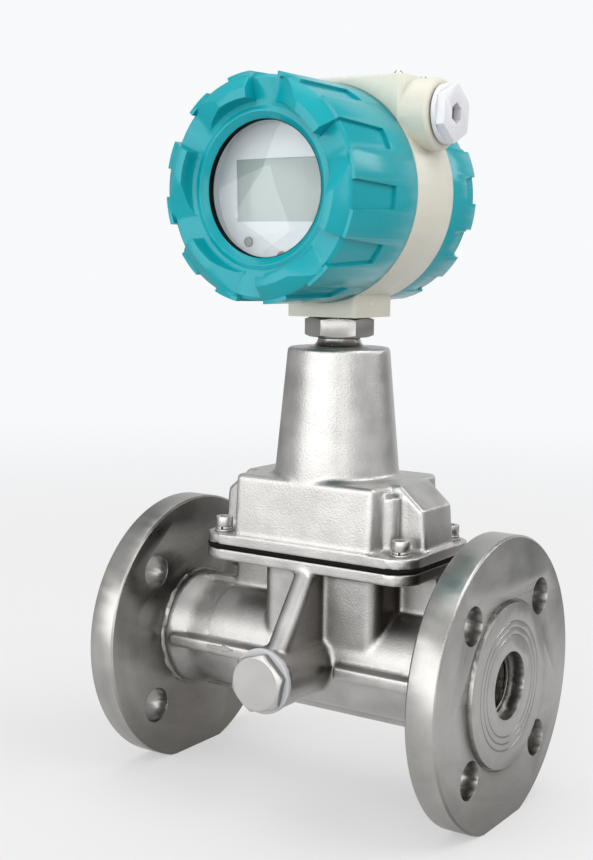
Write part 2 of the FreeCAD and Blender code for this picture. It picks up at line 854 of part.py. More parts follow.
def sensor_cover():
    rim = rounded_plate(neck_x, 0, plate_length, plate_width, plate_corner, gasket_top, cover_seat)
    tall = drafted_box(0)
    tall = rounded_edges(tall, box_edge, lambda e: e.BoundBox.ZMax > gasket_top + shortest_edge)
    hump = rounded_edges(ridge(0), ridge_edge, is_long_end_edge)
    corner_ribs = []
    for sx in (-1, 1):
        for sy in (-1, 1):
            x = neck_x + sx * (box_half_length + corner_rib_outset)
            y = sy * (ridge_half_width + corner_rib_inset)
            corner_ribs.append(upright_rod(x, y, gasket_top + corner_rib_start,
                                           box_top - corner_rib_drop, corner_rib_radius))
    neck = neck_cone(0, box_top - neck_sink, neck_top)
    neck = rounded_edges(neck, neck_edge, lambda e: e.BoundBox.ZMin > neck_top - cut_margin / 10)
    shape = joined(rim, tall, hump, neck, *corner_ribs)
    hollow_box = drafted_box(-cover_wall)
    hollow_ridge = ridge(-cover_wall)
    hollow_neck = neck_cone(-neck_wall, box_top - 2 * cover_wall, neck_top - neck_wall)
    cuts = [hollow_box, hollow_ridge, hollow_neck,
            upright_rod(neck_x, 0, neck_top - 2 * neck_wall, neck_top, stem_radius)]
    for x, y in screw_places():
        cuts.append(upright_rod(x, y, gasket_top, cover_seat, screw_diameter / 2 + screw_clearance))
        cuts.append(upright_rod(x, y, cover_seat, box_top, flat_washer_diameter / 2 + spotface_clearance))
    return shape.cut(cuts)


def ring_group(z, outer_diameter, inner_radius, thickness):
    rings = []
    for x, y in screw_places():
        ring = upright_rod(x, y, z, z + thickness, outer_diameter / 2)
        rings.append(ring.cut(upright_rod(x, y, z, z + thickness, inner_radius)))
    return rings


def flat_washers():
    rings = ring_group(cover_seat, flat_washer_diameter, screw_diameter / 2 + washer_gap,
                       flat_washer_thickness)
    return Part.makeCompound(rings)


def spring_washers():
    z = cover_seat + flat_washer_thickness
    rings = ring_group(z, spring_washer_diameter, screw_diameter / 2 + washer_gap, spring_washer_thickness)
    split = []
    for ring, (x, y) in zip(rings, screw_places()):
        half = spring_washer_split / 2
        slot = block(-half, half, 0, spring_washer_diameter, z, z + spring_washer_thickness)
        slot.rotate(Vector(0, 0, 0), Z, spring_washer_turn)
        slot.translate(Vector(x, y, 0))
        split.append(ring.cut(slot))
    return Part.makeCompound(split)


def cover_screws():
    z = cover_seat + flat_washer_thickness + spring_washer_thickness
    screws = []
    for x, y in screw_places():
        shank = upright_rod(x, y, plate_bottom - screw_end, z, screw_diameter / 2 - screw_fit)
        head = upright_rod(x, y, z, z + screw_head_height, screw_head_diameter / 2)
        socket = hexagon(Vector(x, y, z + screw_head_height - screw_socket_depth), Z,
                         screw_socket, screw_socket_depth)
        screws.append(joined(shank, head).cut(socket))
    return Part.makeCompound(screws)


def stem_tube():
    bottom = neck_top - neck_wall - stem_inner_length - stem_inner_end
    seated = stem_radius - stem_fit
    points = [(bottom, stem_bore_radius), (bottom, seated), (neck_top, seated),
              (neck_top, stem_collar_radius), (stem_collar_top, stem_collar_radius),
              (stem_collar_top, stem_radius), (stem_top, stem_radius), (stem_top, stem_bore_radius)]
    # the collar flares out to the neck in a hollow curve
    hollow = stem_collar_top - neck_top - stem_collar_rim
    flare = Part.makeTorus(stem_collar_radius, hollow, Vector(neck_x, 0, stem_collar_top), Z)
    return turned_upright(points).cut(flare)


def nut(z, height, turn):
    prism = hexagon(Vector(neck_x, 0, z), Z, nut_across_flats, height, turn)
    wide = nut_across_flats / math.sqrt(3) + 1
    edge = nut_across_flats / 2 - nut_face_inset
    low = z + nut_edge_drop
    high = z + height - nut_edge_drop
    rounding = turned_upright([(z, stem_radius), (z, edge), (low, wide), (high, wide),
                               (z + height, edge), (z + height, stem_radius)])
    return prism.common(rounding)


def head_housing():
    drum = head_rod(-head_back, head_front, head_radius)
    front_spigot = head_rod(head_front, head_front + spigot_length, spigot_radius)
    back_spigot = head_rod(-head_back - spigot_length, -head_back, spigot_radius)
    foot = block(neck_x - foot_block_half_length, neck_x + foot_block_half_length,
                 -foot_block_half_width, foot_block_half_width,
                 head_bottom, head_height - foot_block_overlap)
    foot = rounded_edges(foot, foot_block_edge, is_upright)
    top = block(neck_x - top_block_half_length, neck_x + top_block_half_length,
                -top_block_half_width, top_block_half_width,
                top_block_top - top_block_depth, top_block_top)
    top = rounded_edges(top, top_block_edge, is_upright)
    # the blocks and the conduit entries leave room for the front cover to turn
    cover_room = head_rod(head_front, head_front + spigot_length, cover_radius + cover_gap)
    foot = foot.cut(cover_room)
    top = top.cut(cover_room)
    entries = []
    holes = []
    for side in (-1, 1):
        way = X * side
        start = neck_x + side * conduit_start
        length = conduit_reach - conduit_start
        entry = rod(start, 0, conduit_height, way, conduit_radius, length)
        end = start + side * length
        entry = rounded_edges(entry, conduit_edge, lambda e: ends_at(e, end))
        entries.append(entry.cut(cover_room))
        holes.append(rod(start, 0, conduit_height, way, conduit_bore_radius, length))
    shape = joined(drum, front_spigot, back_spigot, foot, top, *entries)
    front_room = head_rod(head_wall_front, head_front + spigot_length, head_bore_radius)
    back_room = head_rod(-head_back - spigot_length, -head_wall_back, head_bore_radius)
    wire_way = head_rod(-head_wall_back, head_wall_front, wire_way_radius, neck_x,
                        head_height - wire_way_drop)
    stem_hole = upright_rod(neck_x, 0, head_bottom, stem_top + stem_pocket, stem_radius + swivel_clearance)
    grooves = []
    for reach in (head_front + o_ring_back, -head_back - o_ring_back):
        grooves.append(o_ring_groove(reach))
    return shape.cut([front_room, back_room, wire_way, stem_hole, *grooves, *holes])


def o_ring_groove(reach):
    wide = o_ring_radius + o_ring_side_gap
    low = spigot_radius - 2 * o_ring_radius
    high = spigot_radius + 1
    return turned_on_head([(reach - wide, low), (reach + wide, low), (reach + wide, high),
                           (reach - wide, high)])


def o_ring(reach):
    centre = Vector(neck_x, -reach, head_height)
    return Part.makeTorus(spigot_radius - o_ring_radius, o_ring_radius, centre, Y)


def sector(reach0, reach1, inner, outer, middle, width):
    # a piece of a ring round the head's axis, middle and width in degrees
    half = math.radians(width / 2)
    far = outer / math.cos(half) + cutter_reach
    mid = math.radians(middle)
    corners = [Vector(neck_x, -reach0, head_height)]
    for a in (mid - half, mid, mid + half):
        corners.append(Vector(neck_x + far * math.cos(a), -reach0, head_height + far * math.sin(a)))
    wedge = Part.Face(Part.makePolygon(corners + corners[:1])).extrude(FRONT * (reach1 - reach0))
    ring = head_rod(reach0, reach1, outer).cut(head_rod(reach0, reach1, inner))
    return ring.common(wedge)


def lug_starts():
    # the angle at which each lug begins, going round against the clock
    return [lug_phase + lug_gap / 2 + 360 / lug_count * i for i in range(lug_count)]


def room_above(angle, near, far, before, after, height, outward, onward):
    # what lies in front of a sloping plane that runs from near to far outwards, and from before to
    # after along the rim. Its height is given on the line at this angle and lug_inner_radius, and
    # changes by outward and onward for each millimetre
    a = math.radians(angle)
    radial = Vector(math.cos(a), 0, math.sin(a))
    tangent = Vector(-math.sin(a), 0, math.cos(a))
    centre = Vector(neck_x, 0, head_height)
    points = []
    for x, y in ((near, before), (far, before), (far, after), (near, after)):
        reach = height + outward * (x - lug_inner_radius) + onward * y
        points.append(centre + radial * x + tangent * y + FRONT * reach)
    return Part.Face(Part.makePolygon(points + points[:1])).extrude(FRONT * cover_front_reach)


def lugs(top):
    # six lugs: a flat strip in front, a sloping outside, and a face that falls away to one end
    base = top - gap_edge_drop
    ring_face = top - ring_drop
    # the inner wall stands on a hollow corner of two facets
    section = [(base, lug_foot_radius), (ring_face, lug_foot_radius),
               (ring_face + 0.3 * lug_fillet, lug_foot_radius + 0.7 * lug_fillet),
               (ring_face + lug_fillet, lug_foot_radius + lug_fillet), (top, lug_inner_radius),
               (top, lug_outer_radius), (top - lug_shoulder_drop, lug_shoulder_radius),
               (top - lug_rim_drop, lug_rim_radius), (base, lug_rim_radius)]
    ring = turned_on_head(section)
    span = 360 / lug_count - lug_gap
    near = lug_foot_radius - cutter_reach
    far = cover_radius + cutter_reach
    shapes = []
    for start in lug_starts():
        lug = ring.common(sector(base, top, lug_foot_radius - cut_margin, far, start + span / 2, span))
        fall = room_above(start + lug_fall_start, near, far, -lug_fall_before, lug_fall_length,
                          top, lug_fall_tilt, -lug_fall_slope)
        shapes.append(lug.cut(fall))
    return shapes


def rim_pads(top):
    # the barrel runs on as a pad outside both ends of each lug
    span = 360 / lug_count - lug_gap
    pads = []
    for start in lug_starts():
        for middle in (start + pad_angle / 2, start + span - pad_angle / 2):
            pads.append(sector(top - pad_back_drop, top - pad_front_drop, cover_radius - pad_sink,
                               cover_radius, middle, pad_angle))
    return pads


def rim_channels(top, length):
    # channels in the barrel, behind each gap and behind the middle of each lug, that narrow backwards
    front = top - channel_front_drop
    ring = head_rod(front - length, front, cover_radius + cutter_reach)
    ring = ring.cut(head_rod(front - length, front, lug_rim_radius))
    between_pads = 360 / lug_count - lug_gap - 2 * pad_angle
    channels = []
    count = 2 * lug_count
    for i in range(count):
        a = math.radians(lug_phase + 360 / count * i)
        radial = Vector(math.cos(a), 0, math.sin(a))
        tangent = Vector(-math.sin(a), 0, math.cos(a))
        start = Vector(neck_x, 0, head_height) + radial * gap_floor_radius
        half_front = cover_radius * math.sin(math.radians((lug_gap, between_pads)[i % 2] / 2))
        half_back = cover_radius * math.sin(math.radians(channel_end_angle / 2))
        corners = [start + tangent * half_front + FRONT * front, start - tangent * half_front + FRONT * front,
                   start - tangent * half_back + FRONT * (front - length),
                   start + tangent * half_back + FRONT * (front - length)]
        prism = Part.Face(Part.makePolygon(corners + corners[:1])).extrude(radial * 2 * cutter_reach)
        channels.append(ring.common(prism))
    return channels


def lugged_cover(outline, top, channel_length):
    shell = turned_on_head(outline)
    shell = joined(shell, *lugs(top), *rim_pads(top))
    return shell.cut(rim_channels(top, channel_length))


def front_outline(back, top):
    # the outside of a cover from its open end to the foot of its lugs
    thread = spigot_radius + swivel_clearance
    return [(back, thread), (back, cover_radius), (top - gap_edge_drop, cover_radius),
            (top - gap_floor_drop, gap_floor_radius), (top - ring_drop, lug_foot_radius)]


def front_cover():
    back = head_front + cover_gap
    top = cover_front_reach
    ring = top - ring_drop
    spigot_end = head_front + spigot_length + spigot_room
    thread = spigot_radius + swivel_clearance
    glass_side = glass_radius + glass_clearance
    ring_back = glass_back - clamp_ring_thickness
    outline = front_outline(back, top)
    outline += [(ring, lip_radius + lip_foot_width), (ring + lip_rise, lip_radius + lip_crest_width / 2),
                (ring + lip_rise, lip_radius - lip_crest_width / 2), (ring - lip_bevel_drop, window_radius),
                (glass_seat, window_radius), (glass_seat, glass_side), (glass_back, glass_side),
                (glass_back, clamp_ring_radius), (ring_back, clamp_ring_radius),
                (ring_back, cover_inner_radius), (spigot_end, cover_inner_radius), (spigot_end, thread)]
    return lugged_cover(outline, top, front_channel_length)


def back_cover():
    back = head_back + cover_gap
    top = cover_back_reach
    thread = spigot_radius + swivel_clearance
    inside = top - ring_drop - cover_end_wall
    outline = front_outline(back, top)
    outline += [(top - ring_drop, 0), (inside, 0), (inside, thread)]
    shell = lugged_cover(outline, top, back_channel_length)
    shell.rotate(Vector(neck_x, 0, 0), Z, 180)
    return shell


def glass_gasket():
    hole = head_rod(glass_front, glass_seat, window_radius + gasket_window_gap)
    return head_rod(glass_front, glass_seat, glass_radius).cut(hole)


def window_glass():
    return head_rod(glass_back, glass_front, glass_radius)


def clamp_ring():
    start = glass_back - clamp_ring_thickness
    ring = head_rod(start, glass_back, clamp_ring_radius - clamp_ring_fit)
    cuts = [head_rod(start, glass_back, clamp_ring_inner)]
    for a in (0.0, 180.0):
        cuts.append(sector(start, start + clamp_notch_depth, clamp_ring_radius - clamp_notch_width,
                           clamp_ring_radius + 1, a, clamp_notch_angle))
    return ring.cut(cuts)


def key_places():
    places = []
    for angle in key_angles:
        a = math.radians(angle)
        places.append((neck_x + key_shift + key_circle * math.cos(a), head_height + key_circle * math.sin(a)))
    return places


def lcd_box(front, back):
    return block(neck_x - lcd_half_length, neck_x + lcd_half_length, -front, -back,
                 lcd_bottom, lcd_bottom + lcd_height)


def face_plate():
    back = face_plate_reach - face_plate_thickness
    disc = head_rod(back, face_plate_reach, face_plate_radius)
    # a rim stands round the face and ends close behind the window
    rim_front = face_plate_reach + face_rim_height
    rim = head_rod(back, rim_front, face_rim_radius)
    rim = rim.cut(head_rod(face_plate_reach, rim_front, face_rim_radius - face_rim_wall))
    disc = joined(disc, rim)
    cuts = [lcd_box(face_plate_reach, back)]
    for x, z in key_places():
        cuts.append(head_rod(back, face_plate_reach, key_radius + key_clearance, x, z))
    return disc.cut(cuts)


def lcd_panel():
    return lcd_box(face_plate_reach - lcd_recess, face_plate_reach - face_plate_thickness)


def display_module():
    front = face_plate_reach - face_plate_thickness
    can = head_rod(board_front, front, module_radius)
    cuts = []
    for x, z in key_places():
        # the key may go in by its travel before it meets the bottom of its hole
        depth = key_length - face_plate_thickness - key_rise + key_travel + key_clearance
        cuts.append(head_rod(front - depth, front, key_radius + key_clearance, x, z))
    return can.cut(cuts)


def key(x, z):
    front = face_plate_reach + key_rise
    return head_rod(front - key_length, front, key_radius, x, z)


def circuit_board():
    return head_rod(board_front - board_thickness, board_front, board_radius)


def board_posts():
    posts = []
    for i in range(post_count):
        a = math.radians(360 / post_count * (i + 0.5))
        x = neck_x + post_circle * math.cos(a)
        z = head_height + post_circle * math.sin(a)
        posts.append(head_rod(head_wall_front, board_front - board_thickness, post_radius, x, z))
    return Part.makeCompound(posts)


def terminal_block():
    y0 = head_wall_back
    y1 = y0 + terminal_depth
    z0 = head_height - terminal_height / 2
    x0 = neck_x - terminal_half_length
    x1 = neck_x + terminal_half_length
    body = block(x0, x1, y0, y1, z0, z0 + terminal_height)
    return body.cut(block(x0, x1, y1 - terminal_step_depth, y1, z0, z0 + terminal_step_height))


def terminal_screws():
    screws = []
    pitch = 2 * terminal_half_length / terminal_count
    y = head_wall_back + terminal_depth
    z = head_height + terminal_screw_height
    r = terminal_screw_radius
    half = terminal_slot / 2
    for i in range(terminal_count):
        x = neck_x - terminal_half_length + pitch * (i + 0.5)
        head = rod(x, y, z, Y, r, terminal_screw_rise)
        slot = block(x - r, x + r, y + terminal_slot_start, y + terminal_screw_rise, z - half, z + half)
        screws.append(head.cut(slot))
    return Part.makeCompound(screws)


def conduit_seal(side):
    x = neck_x + side * conduit_reach
    way = X * side
    disc = rod(x, 0, conduit_height, way, conduit_seal_radius, conduit_seal_thickness)
    return disc.cut(rod(x, 0, conduit_height, way, conduit_bore_radius + conduit_seal_gap,
                        conduit_seal_thickness))


def conduit_plug(side):
    way = X * side
    start = Vector(neck_x + side * (conduit_reach + conduit_seal_thickness), 0, conduit_height)
    flange_end = start + way * conduit_plug_flange
    disc = Part.makeCylinder(conduit_plug_flange_radius, conduit_plug_flange, start, way)
    head = chamfered_hex(flange_end, way, conduit_plug_hex, conduit_plug_head, conduit_plug_corner,
                         conduit_plug_turn)
    shank = Part.makeCylinder(conduit_bore_radius - thread_clearance,
                              conduit_plug_shank + conduit_seal_thickness, start, way * -1)
    outer_end = flange_end + way * conduit_plug_head
    socket = hexagon(outer_end - way * conduit_plug_socket_depth, way, conduit_plug_socket,
                     conduit_plug_socket_depth)
    return joined(disc, head, shank).cut(socket)


def name_plate():
    return rounded_plate(neck_x, 0, 2 * plate_half_length, 2 * plate_half_width, name_plate_corner,
                         top_block_top, top_block_top + name_plate_thickness)


def rivets():
    heads = []
    z = top_block_top + name_plate_thickness
    for sx in (-1, 1):
        for sy in (-1, 1):
            x = neck_x + sx * (plate_half_length - rivet_inset)
            y = sy * (plate_half_width - rivet_inset)
            heads.append(Part.makeCone(rivet_radius, rivet_radius * rivet_top, rivet_height,
                                       Vector(x, y, z), Z))
    return Part.makeCompound(heads)


def all_parts():
    backing_nut_bottom = neck_top - neck_wall - stem_inner_length
    parts = {
        "inlet_flange": flange(0.0, 1),
        "outlet_flange": flange(face_to_face, -1),
        "meter_body": meter_body(),
        "inlet_swirler": swirler(),
        "inlet_retaining_ring": retaining_ring(0.0, 1),
        "flow_straightener": straightener(),
        "outlet_retaining_ring": retaining_ring(face_to_face, -1),
        "vortex_probe": sensor_probe(),
        "probe_clamp": probe_clamp(),
        "clamp_screws": clamp_screws(),
        "temperature_probe": thermometer(),
        "pressure_sensor": pressure_sensor(),
        "side_plug": side_plug(),
        "plug_washer": plug_washer(),
        "cover_gasket": cover_gasket(),
        "sensor_cover": sensor_cover(),
        "flat_washers": flat_washers(),
        "spring_washers": spring_washers(),
        "cover_screws": cover_screws(),
        "stem_tube": stem_tube(),
        "stem_backing_nut": nut(backing_nut_bottom, stem_inner_length, 0.0),
        "stem_lock_nut": nut(nut_bottom, nut_height, lock_nut_turn),
        "head_housing": head_housing(),
        "front_o_ring": o_ring(head_front + o_ring_back),
        "back_o_ring": o_ring(-head_back - o_ring_back),
        "front_cover": front_cover(),
        "window_gasket": glass_gasket(),
        "window_glass": window_glass(),
        "window_clamp_ring": clamp_ring(),
        "back_cover": back_cover(),
        "display_module": display_module(),
        "display_face_plate": face_plate(),
        "lcd_panel": lcd_panel(),
        "circuit_board": circuit_board(),
        "board_posts": board_posts(),
        "terminal_block": terminal_block(),
        "terminal_screws": terminal_screws(),
        "name_plate": name_plate(),
        "name_plate_rivets": rivets(),
    }
    for i, (x, z) in enumerate(key_places()):
        parts["key_%d" % (i + 1)] = key(x, z)
    for side, name in ((1, "right"), (-1, "left")):
        parts["conduit_plug_" + name] = conduit_plug(side)
        parts["conduit_seal_" + name] = conduit_seal(side)
    return parts


def main():
    os.makedirs("parts", exist_ok=True)
    for name, shape in all_parts().items():
        shape.exportStep("parts/" + name + ".step")
        print(name, "solids", len(shape.Solids), "valid", shape.isValid())


main()
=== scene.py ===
"""Swirl vortex flow meter, dressed around its CAD frame: pieces, materials and a plain studio."""

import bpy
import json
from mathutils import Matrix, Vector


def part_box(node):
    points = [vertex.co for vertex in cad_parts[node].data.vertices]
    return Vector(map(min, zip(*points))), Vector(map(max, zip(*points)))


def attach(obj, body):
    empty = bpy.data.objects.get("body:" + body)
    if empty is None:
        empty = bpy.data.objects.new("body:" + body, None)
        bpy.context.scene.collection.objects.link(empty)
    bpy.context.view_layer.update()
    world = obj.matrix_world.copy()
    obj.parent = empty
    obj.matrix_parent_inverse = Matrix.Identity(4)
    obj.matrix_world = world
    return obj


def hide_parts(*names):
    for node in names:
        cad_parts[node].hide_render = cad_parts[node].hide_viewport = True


bl_info = {
    "name": "Vortex flow meter",
    "version": (1, 0, 0),
    "blender": (4, 5, 0),
    "location": "3D View > Sidebar > Flow meter",
    "description": "Finished pieces, materials and a plain studio for a flanged vortex flow meter",
    "category": "Object",
}

import json
import math

import bmesh
import bpy
from bpy.props import FloatProperty, FloatVectorProperty, PointerProperty
from mathutils import Matrix, Vector
from mathutils.noise import noise

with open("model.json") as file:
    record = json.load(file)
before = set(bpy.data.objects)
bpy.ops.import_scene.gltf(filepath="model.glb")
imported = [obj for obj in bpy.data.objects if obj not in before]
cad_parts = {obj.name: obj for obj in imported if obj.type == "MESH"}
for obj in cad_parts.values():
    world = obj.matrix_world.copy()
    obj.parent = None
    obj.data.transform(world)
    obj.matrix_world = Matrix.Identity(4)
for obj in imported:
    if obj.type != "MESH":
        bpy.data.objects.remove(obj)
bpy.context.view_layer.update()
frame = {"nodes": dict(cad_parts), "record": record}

MM = 0.001
INLET_LOW, INLET_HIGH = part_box("inlet_flange")
OUTLET_LOW, OUTLET_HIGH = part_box("outlet_flange")
GLASS_LOW, GLASS_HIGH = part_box("window_glass")
TUBE_START, TUBE_END = INLET_HIGH.x, OUTLET_LOW.x
MIDDLE_X = (INLET_LOW.x + OUTLET_HIGH.x) / 2
HEAD_X = (GLASS_LOW.x + GLASS_HIGH.x) / 2
HEAD_Z = (GLASS_LOW.z + GLASS_HIGH.z) / 2
FLOOR_Z = INLET_LOW.z


# Settings

def colour_setting(name, description, default):
    return FloatVectorProperty(name=name, description=description, default=default,
                               subtype="COLOR", size=3, min=0.0, max=1.0)


def size_setting(name, description, default):
    return FloatProperty(name=name, description=description, default=default,
                         subtype="DISTANCE", unit="LENGTH", min=0.0)


def light_setting(name, description, default):
    return FloatProperty(name=name, description=description + ", where 1 shows as white",
                         default=default, min=0.0, soft_max=3.0)


def share_setting(name, description, default):
    return FloatProperty(name=name, description=description, default=default,
                         subtype="FACTOR", min=0.0, max=1.0)


class MeterColours(bpy.types.PropertyGroup):
    """Colours of the meter's finishes"""
    teal: colour_setting("Teal paint", "Paint of both threaded covers", (0.0, 0.36, 0.415))
    cream: colour_setting("Cream paint", "Paint of the head's housing", (0.73, 0.708, 0.602))
    cast_steel: colour_setting("Cast steel", "Blasted stainless castings", (0.50, 0.49, 0.475))
    turned_steel: colour_setting("Turned steel", "Machined flanges and nuts", (0.40, 0.392, 0.375))
    bright_steel: colour_setting("Bright steel", "Screws, washers and rings", (0.60, 0.59, 0.57))
    white_plastic: colour_setting("White plastic", "Conduit plugs", (0.80, 0.80, 0.83))
    face_film: colour_setting("Face film", "Plate around the display", (0.62, 0.66, 0.69))
    display: colour_setting("Display", "Liquid crystal panel, switched off", (0.29, 0.35, 0.33))


class MeterSizes(bpy.types.PropertyGroup):
    """How finely the castings are made and how far edges are broken"""
    turned_edge: size_setting("Turned edge", "Broken edge of machined pieces", 0.3 * MM)
    cast_voxel: size_setting("Tube grid", "Grid of the flow tube's casting", 1.0 * MM)
    cover_voxel: size_setting("Cover grid", "Grid of the sensor cover's casting", 0.85 * MM)
    paint_edge: size_setting("Painted edge", "Rounding of the painted covers' edges", 0.7 * MM)


class MeterStudio(bpy.types.PropertyGroup):
    """Floor, backdrop, lamps and lens"""
    floor: colour_setting("Floor", "Plain floor", (0.40, 0.395, 0.40))
    backdrop: colour_setting("Backdrop", "Pale background behind the floor", (0.94, 0.95, 0.96))
    front: light_setting("Front softboxes", "Brightness of the softboxes beside the camera", 1.95)
    right: light_setting("Right softbox", "Brightness of the softbox high on the right", 2.35)
    low: light_setting("Low softbox", "Brightness of the softbox low on the right", 3.6)
    top: light_setting("Top softbox", "Brightness of the softbox over the meter", 1.3)
    sky: share_setting("Room light", "Even light from all around", 0.6)
    lens: FloatProperty(name="Lens", description="Focal length", default=57.69,
                        subtype="DISTANCE_CAMERA")


# Meshes

EDGE_ANGLE = 30.0
HOLLOW_DEPTH = 0.03
BLEND_ROUNDS = 60
SMOOTHING = dict(factor=0.5, use_axis_x=True, use_axis_y=True, use_axis_z=True)


def merged(node):
    """A CAD node's shape as one closed mesh, with its flat faces whole."""
    shape = bmesh.new()
    shape.from_mesh(frame["nodes"][node].data)
    bmesh.ops.remove_doubles(shape, verts=shape.verts, dist=0.001 * MM)
    bmesh.ops.dissolve_limit(shape, angle_limit=math.radians(0.5), verts=shape.verts, edges=shape.edges)
    return shape


def body_of(node):
    for name, nodes in frame["record"]["behaviour"]["bodies"].items():
        if node in nodes:
            return name
    raise RuntimeError("no body holds " + node)


def place(name, shape, material, like, stands_for=(), sharp=35.0):
    """Makes a piece of a bmesh, with its material, on the body of the CAD node it is like."""
    limit = math.radians(sharp)
    for face in shape.faces:
        face.smooth = True
    for edge in shape.edges:
        edge.smooth = edge.calc_face_angle(math.pi) < limit
    mesh = bpy.data.meshes.new(name)
    shape.to_mesh(mesh)
    shape.free()
    mesh.materials.append(material)
    piece = bpy.data.objects.new(name, mesh)
    bpy.context.scene.collection.objects.link(piece)
    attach(piece, body_of(like))
    if stands_for:
        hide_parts(*stands_for)
    return piece


def broken_edges(piece, width, segments=2):
    """Rounds the sharp edges of a piece, and keeps its flat faces flat."""
    for edge in piece.data.edges:
        edge.use_edge_sharp = False
    bevel = piece.modifiers.new("edges", "BEVEL")
    bevel.width = width
    bevel.segments = segments
    bevel.limit_method = "ANGLE"
    bevel.angle_limit = math.radians(EDGE_ANGLE)
    bevel.harden_normals = True


def dressed(node, material, edge=0.3 * MM, segments=2):
    """A finished copy of a CAD node, with its edges broken."""
    piece = place(node + "_finished", merged(node), material, node, (node,))
    broken_edges(piece, edge, segments)


def hollow_points(shape, least):
    """The points that lie in a hollow corner, deeper than the least depth."""
    found = []
    for point in shape.verts:
        middle = Vector()
        for edge in point.link_edges:
            middle += edge.other_vert(point).co
        if (middle / len(point.link_edges) - point.co).dot(point.normal) > least:
            found.append(point)
    return found


def casting(node, material, voxel, rounds, fillets, blend=None):
    """A finished copy of a CAD node with a casting's soft edges and rounder hollow corners; the
    points that blend picks flow softly into each other."""
    piece = place(node + "_finished", merged(node), material, node, (node,), 180.0)
    remesh = piece.modifiers.new("grid", "REMESH")
    remesh.mode = "VOXEL"
    remesh.voxel_size = voxel
    depsgraph = bpy.context.evaluated_depsgraph_get()
    solid = bpy.data.meshes.new_from_object(piece.evaluated_get(depsgraph))
    piece.modifiers.clear()
    shape = bmesh.new()
    shape.from_mesh(solid)
    bpy.data.meshes.remove(solid)
    for _ in range(fillets):
        bmesh.ops.smooth_vert(shape, verts=hollow_points(shape, HOLLOW_DEPTH * voxel), **SMOOTHING)
        shape.normal_update()
    for _ in range(rounds):
        bmesh.ops.smooth_vert(shape, verts=shape.verts, **SMOOTHING)
    if blend:
        picked = [point for point in shape.verts if blend(point)]
        for _ in range(BLEND_ROUNDS):
            bmesh.ops.smooth_vert(shape, verts=picked, **SMOOTHING)
    for face in shape.faces:
        face.smooth = True
    shape.to_mesh(piece.data)
    shape.free()


def lofted(rows, segments):
    """A solid closed at both ends, from rows of (height, reach), where reach is a length or gives
    one for an angle."""
    shape = bmesh.new()
    bmesh.ops.create_circle(shape, cap_ends=True, segments=segments, radius=1.0)
    top = shape.faces[:]
    for count, (height, reach) in enumerate(rows):
        if count:
            grown = bmesh.ops.extrude_face_region(shape, geom=top)["geom"]
            top = [item for item in grown if isinstance(item, bmesh.types.BMFace)]
        for point in top[0].verts:
            angle = math.atan2(point.co.y, point.co.x)
            out = reach(angle) if callable(reach) else reach
            point.co = (out * math.cos(angle), out * math.sin(angle), height)
    bmesh.ops.holes_fill(shape, edges=shape.edges, sides=0)
    bmesh.ops.recalc_face_normals(shape, faces=shape.faces)
    return shape


def hexagonal(across_flats, turn):
    """The reach of a hexagon at an angle, with a corner at the angle turn in degrees."""
    def reach(angle):
        past = (angle - math.radians(turn)) % (math.pi / 3)
        return across_flats / 2 / math.cos(past - math.pi / 6)
    return reach


def facing_front(shape, where):
    """Turns a shape that was made upwards to the front, and moves it to its place."""
    bmesh.ops.rotate(shape, verts=shape.verts, matrix=Matrix.Rotation(math.radians(90), 3, "X"))
    bmesh.ops.translate(shape, verts=shape.verts, vec=where)
    return shape


# Finishes

SHELTER = 60 * MM
LATHE_RINGS = 1500.0
LATHE_DEPTH = 0.01 * MM
LATHE_BANDS = 180.0
NOISE_LOW, NOISE_HIGH = 0.3, 0.7
# Steel's paler edges are partly wear and partly painted highlight; its darker corners are painted shade
STEEL_EDGES, STEEL_EDGE_LIGHT, STEEL_CORNER_SHADE = 0.3, 1.5, 0.35
# Share of the steel's colour that painted shade, with a brown tint, leaves on sheltered faces
SHELTERED_SHADE_TINT = (0.20, 0.18, 0.16)
PAINT_VARIATION, PAINT_CLOUDS = 0.03, 25.0
# Paint's paler edges are partly wear and partly painted highlight; its darker corners are painted shade
PAINT_CORNER_SHADING, PAINT_EDGE_LIGHT, PAINT_CORNER_SHADE = 0.3, 0.35, 0.4
ALONG_FLOW = ((0.0, 0.0, 0.0), (0.0, 0.0, 0.0))
UP_THE_NECK = ((HEAD_X, 0.0, 0.0), (0.0, math.radians(90), 0.0))

# Name: colour, roughness, grains per metre, depth of the grain, and what differs from plain steel
METALS = {
    # In the last column, two amounts set painted shade: in corners and gaps, and with a brown tint on
    # sheltered faces
    "turned flange": ("turned_steel", 0.31, 1800.0, 0.02 * MM,
                      dict(lathe=ALONG_FLOW, dirt=0.3, patina=0.9)),
    "blasted casting": ("cast_steel", 0.38, 1100.0, 0.15 * MM,
                        dict(variation=0.15, dirt=0.5, patina=1.0)),
    "cover casting": ("cast_steel", 0.38, 1100.0, 0.15 * MM, dict(variation=0.15, dirt=0.5)),
    "screw steel": ("cast_steel", 0.36, 2500.0, 0.015 * MM, {}),
    "turned steel": ("turned_steel", 0.30, 2500.0, 0.015 * MM, dict(lathe=UP_THE_NECK)),
    "plug steel": ("cast_steel", 0.42, 3000.0, 0.01 * MM, dict(variation=0.05, dirt=0.2)),
    "nut steel": ("turned_steel", 0.30, 2500.0, 0.01 * MM, dict(dirt=0.5)),
    "bright steel": ("bright_steel", 0.22, 2500.0, 0.01 * MM, {}),
    "spring steel": ("bright_steel", 0.18, 2500.0, 0.01 * MM, {}),
    "bare plate": ("bright_steel", 0.35, 2500.0, 0.01 * MM, {}),
}

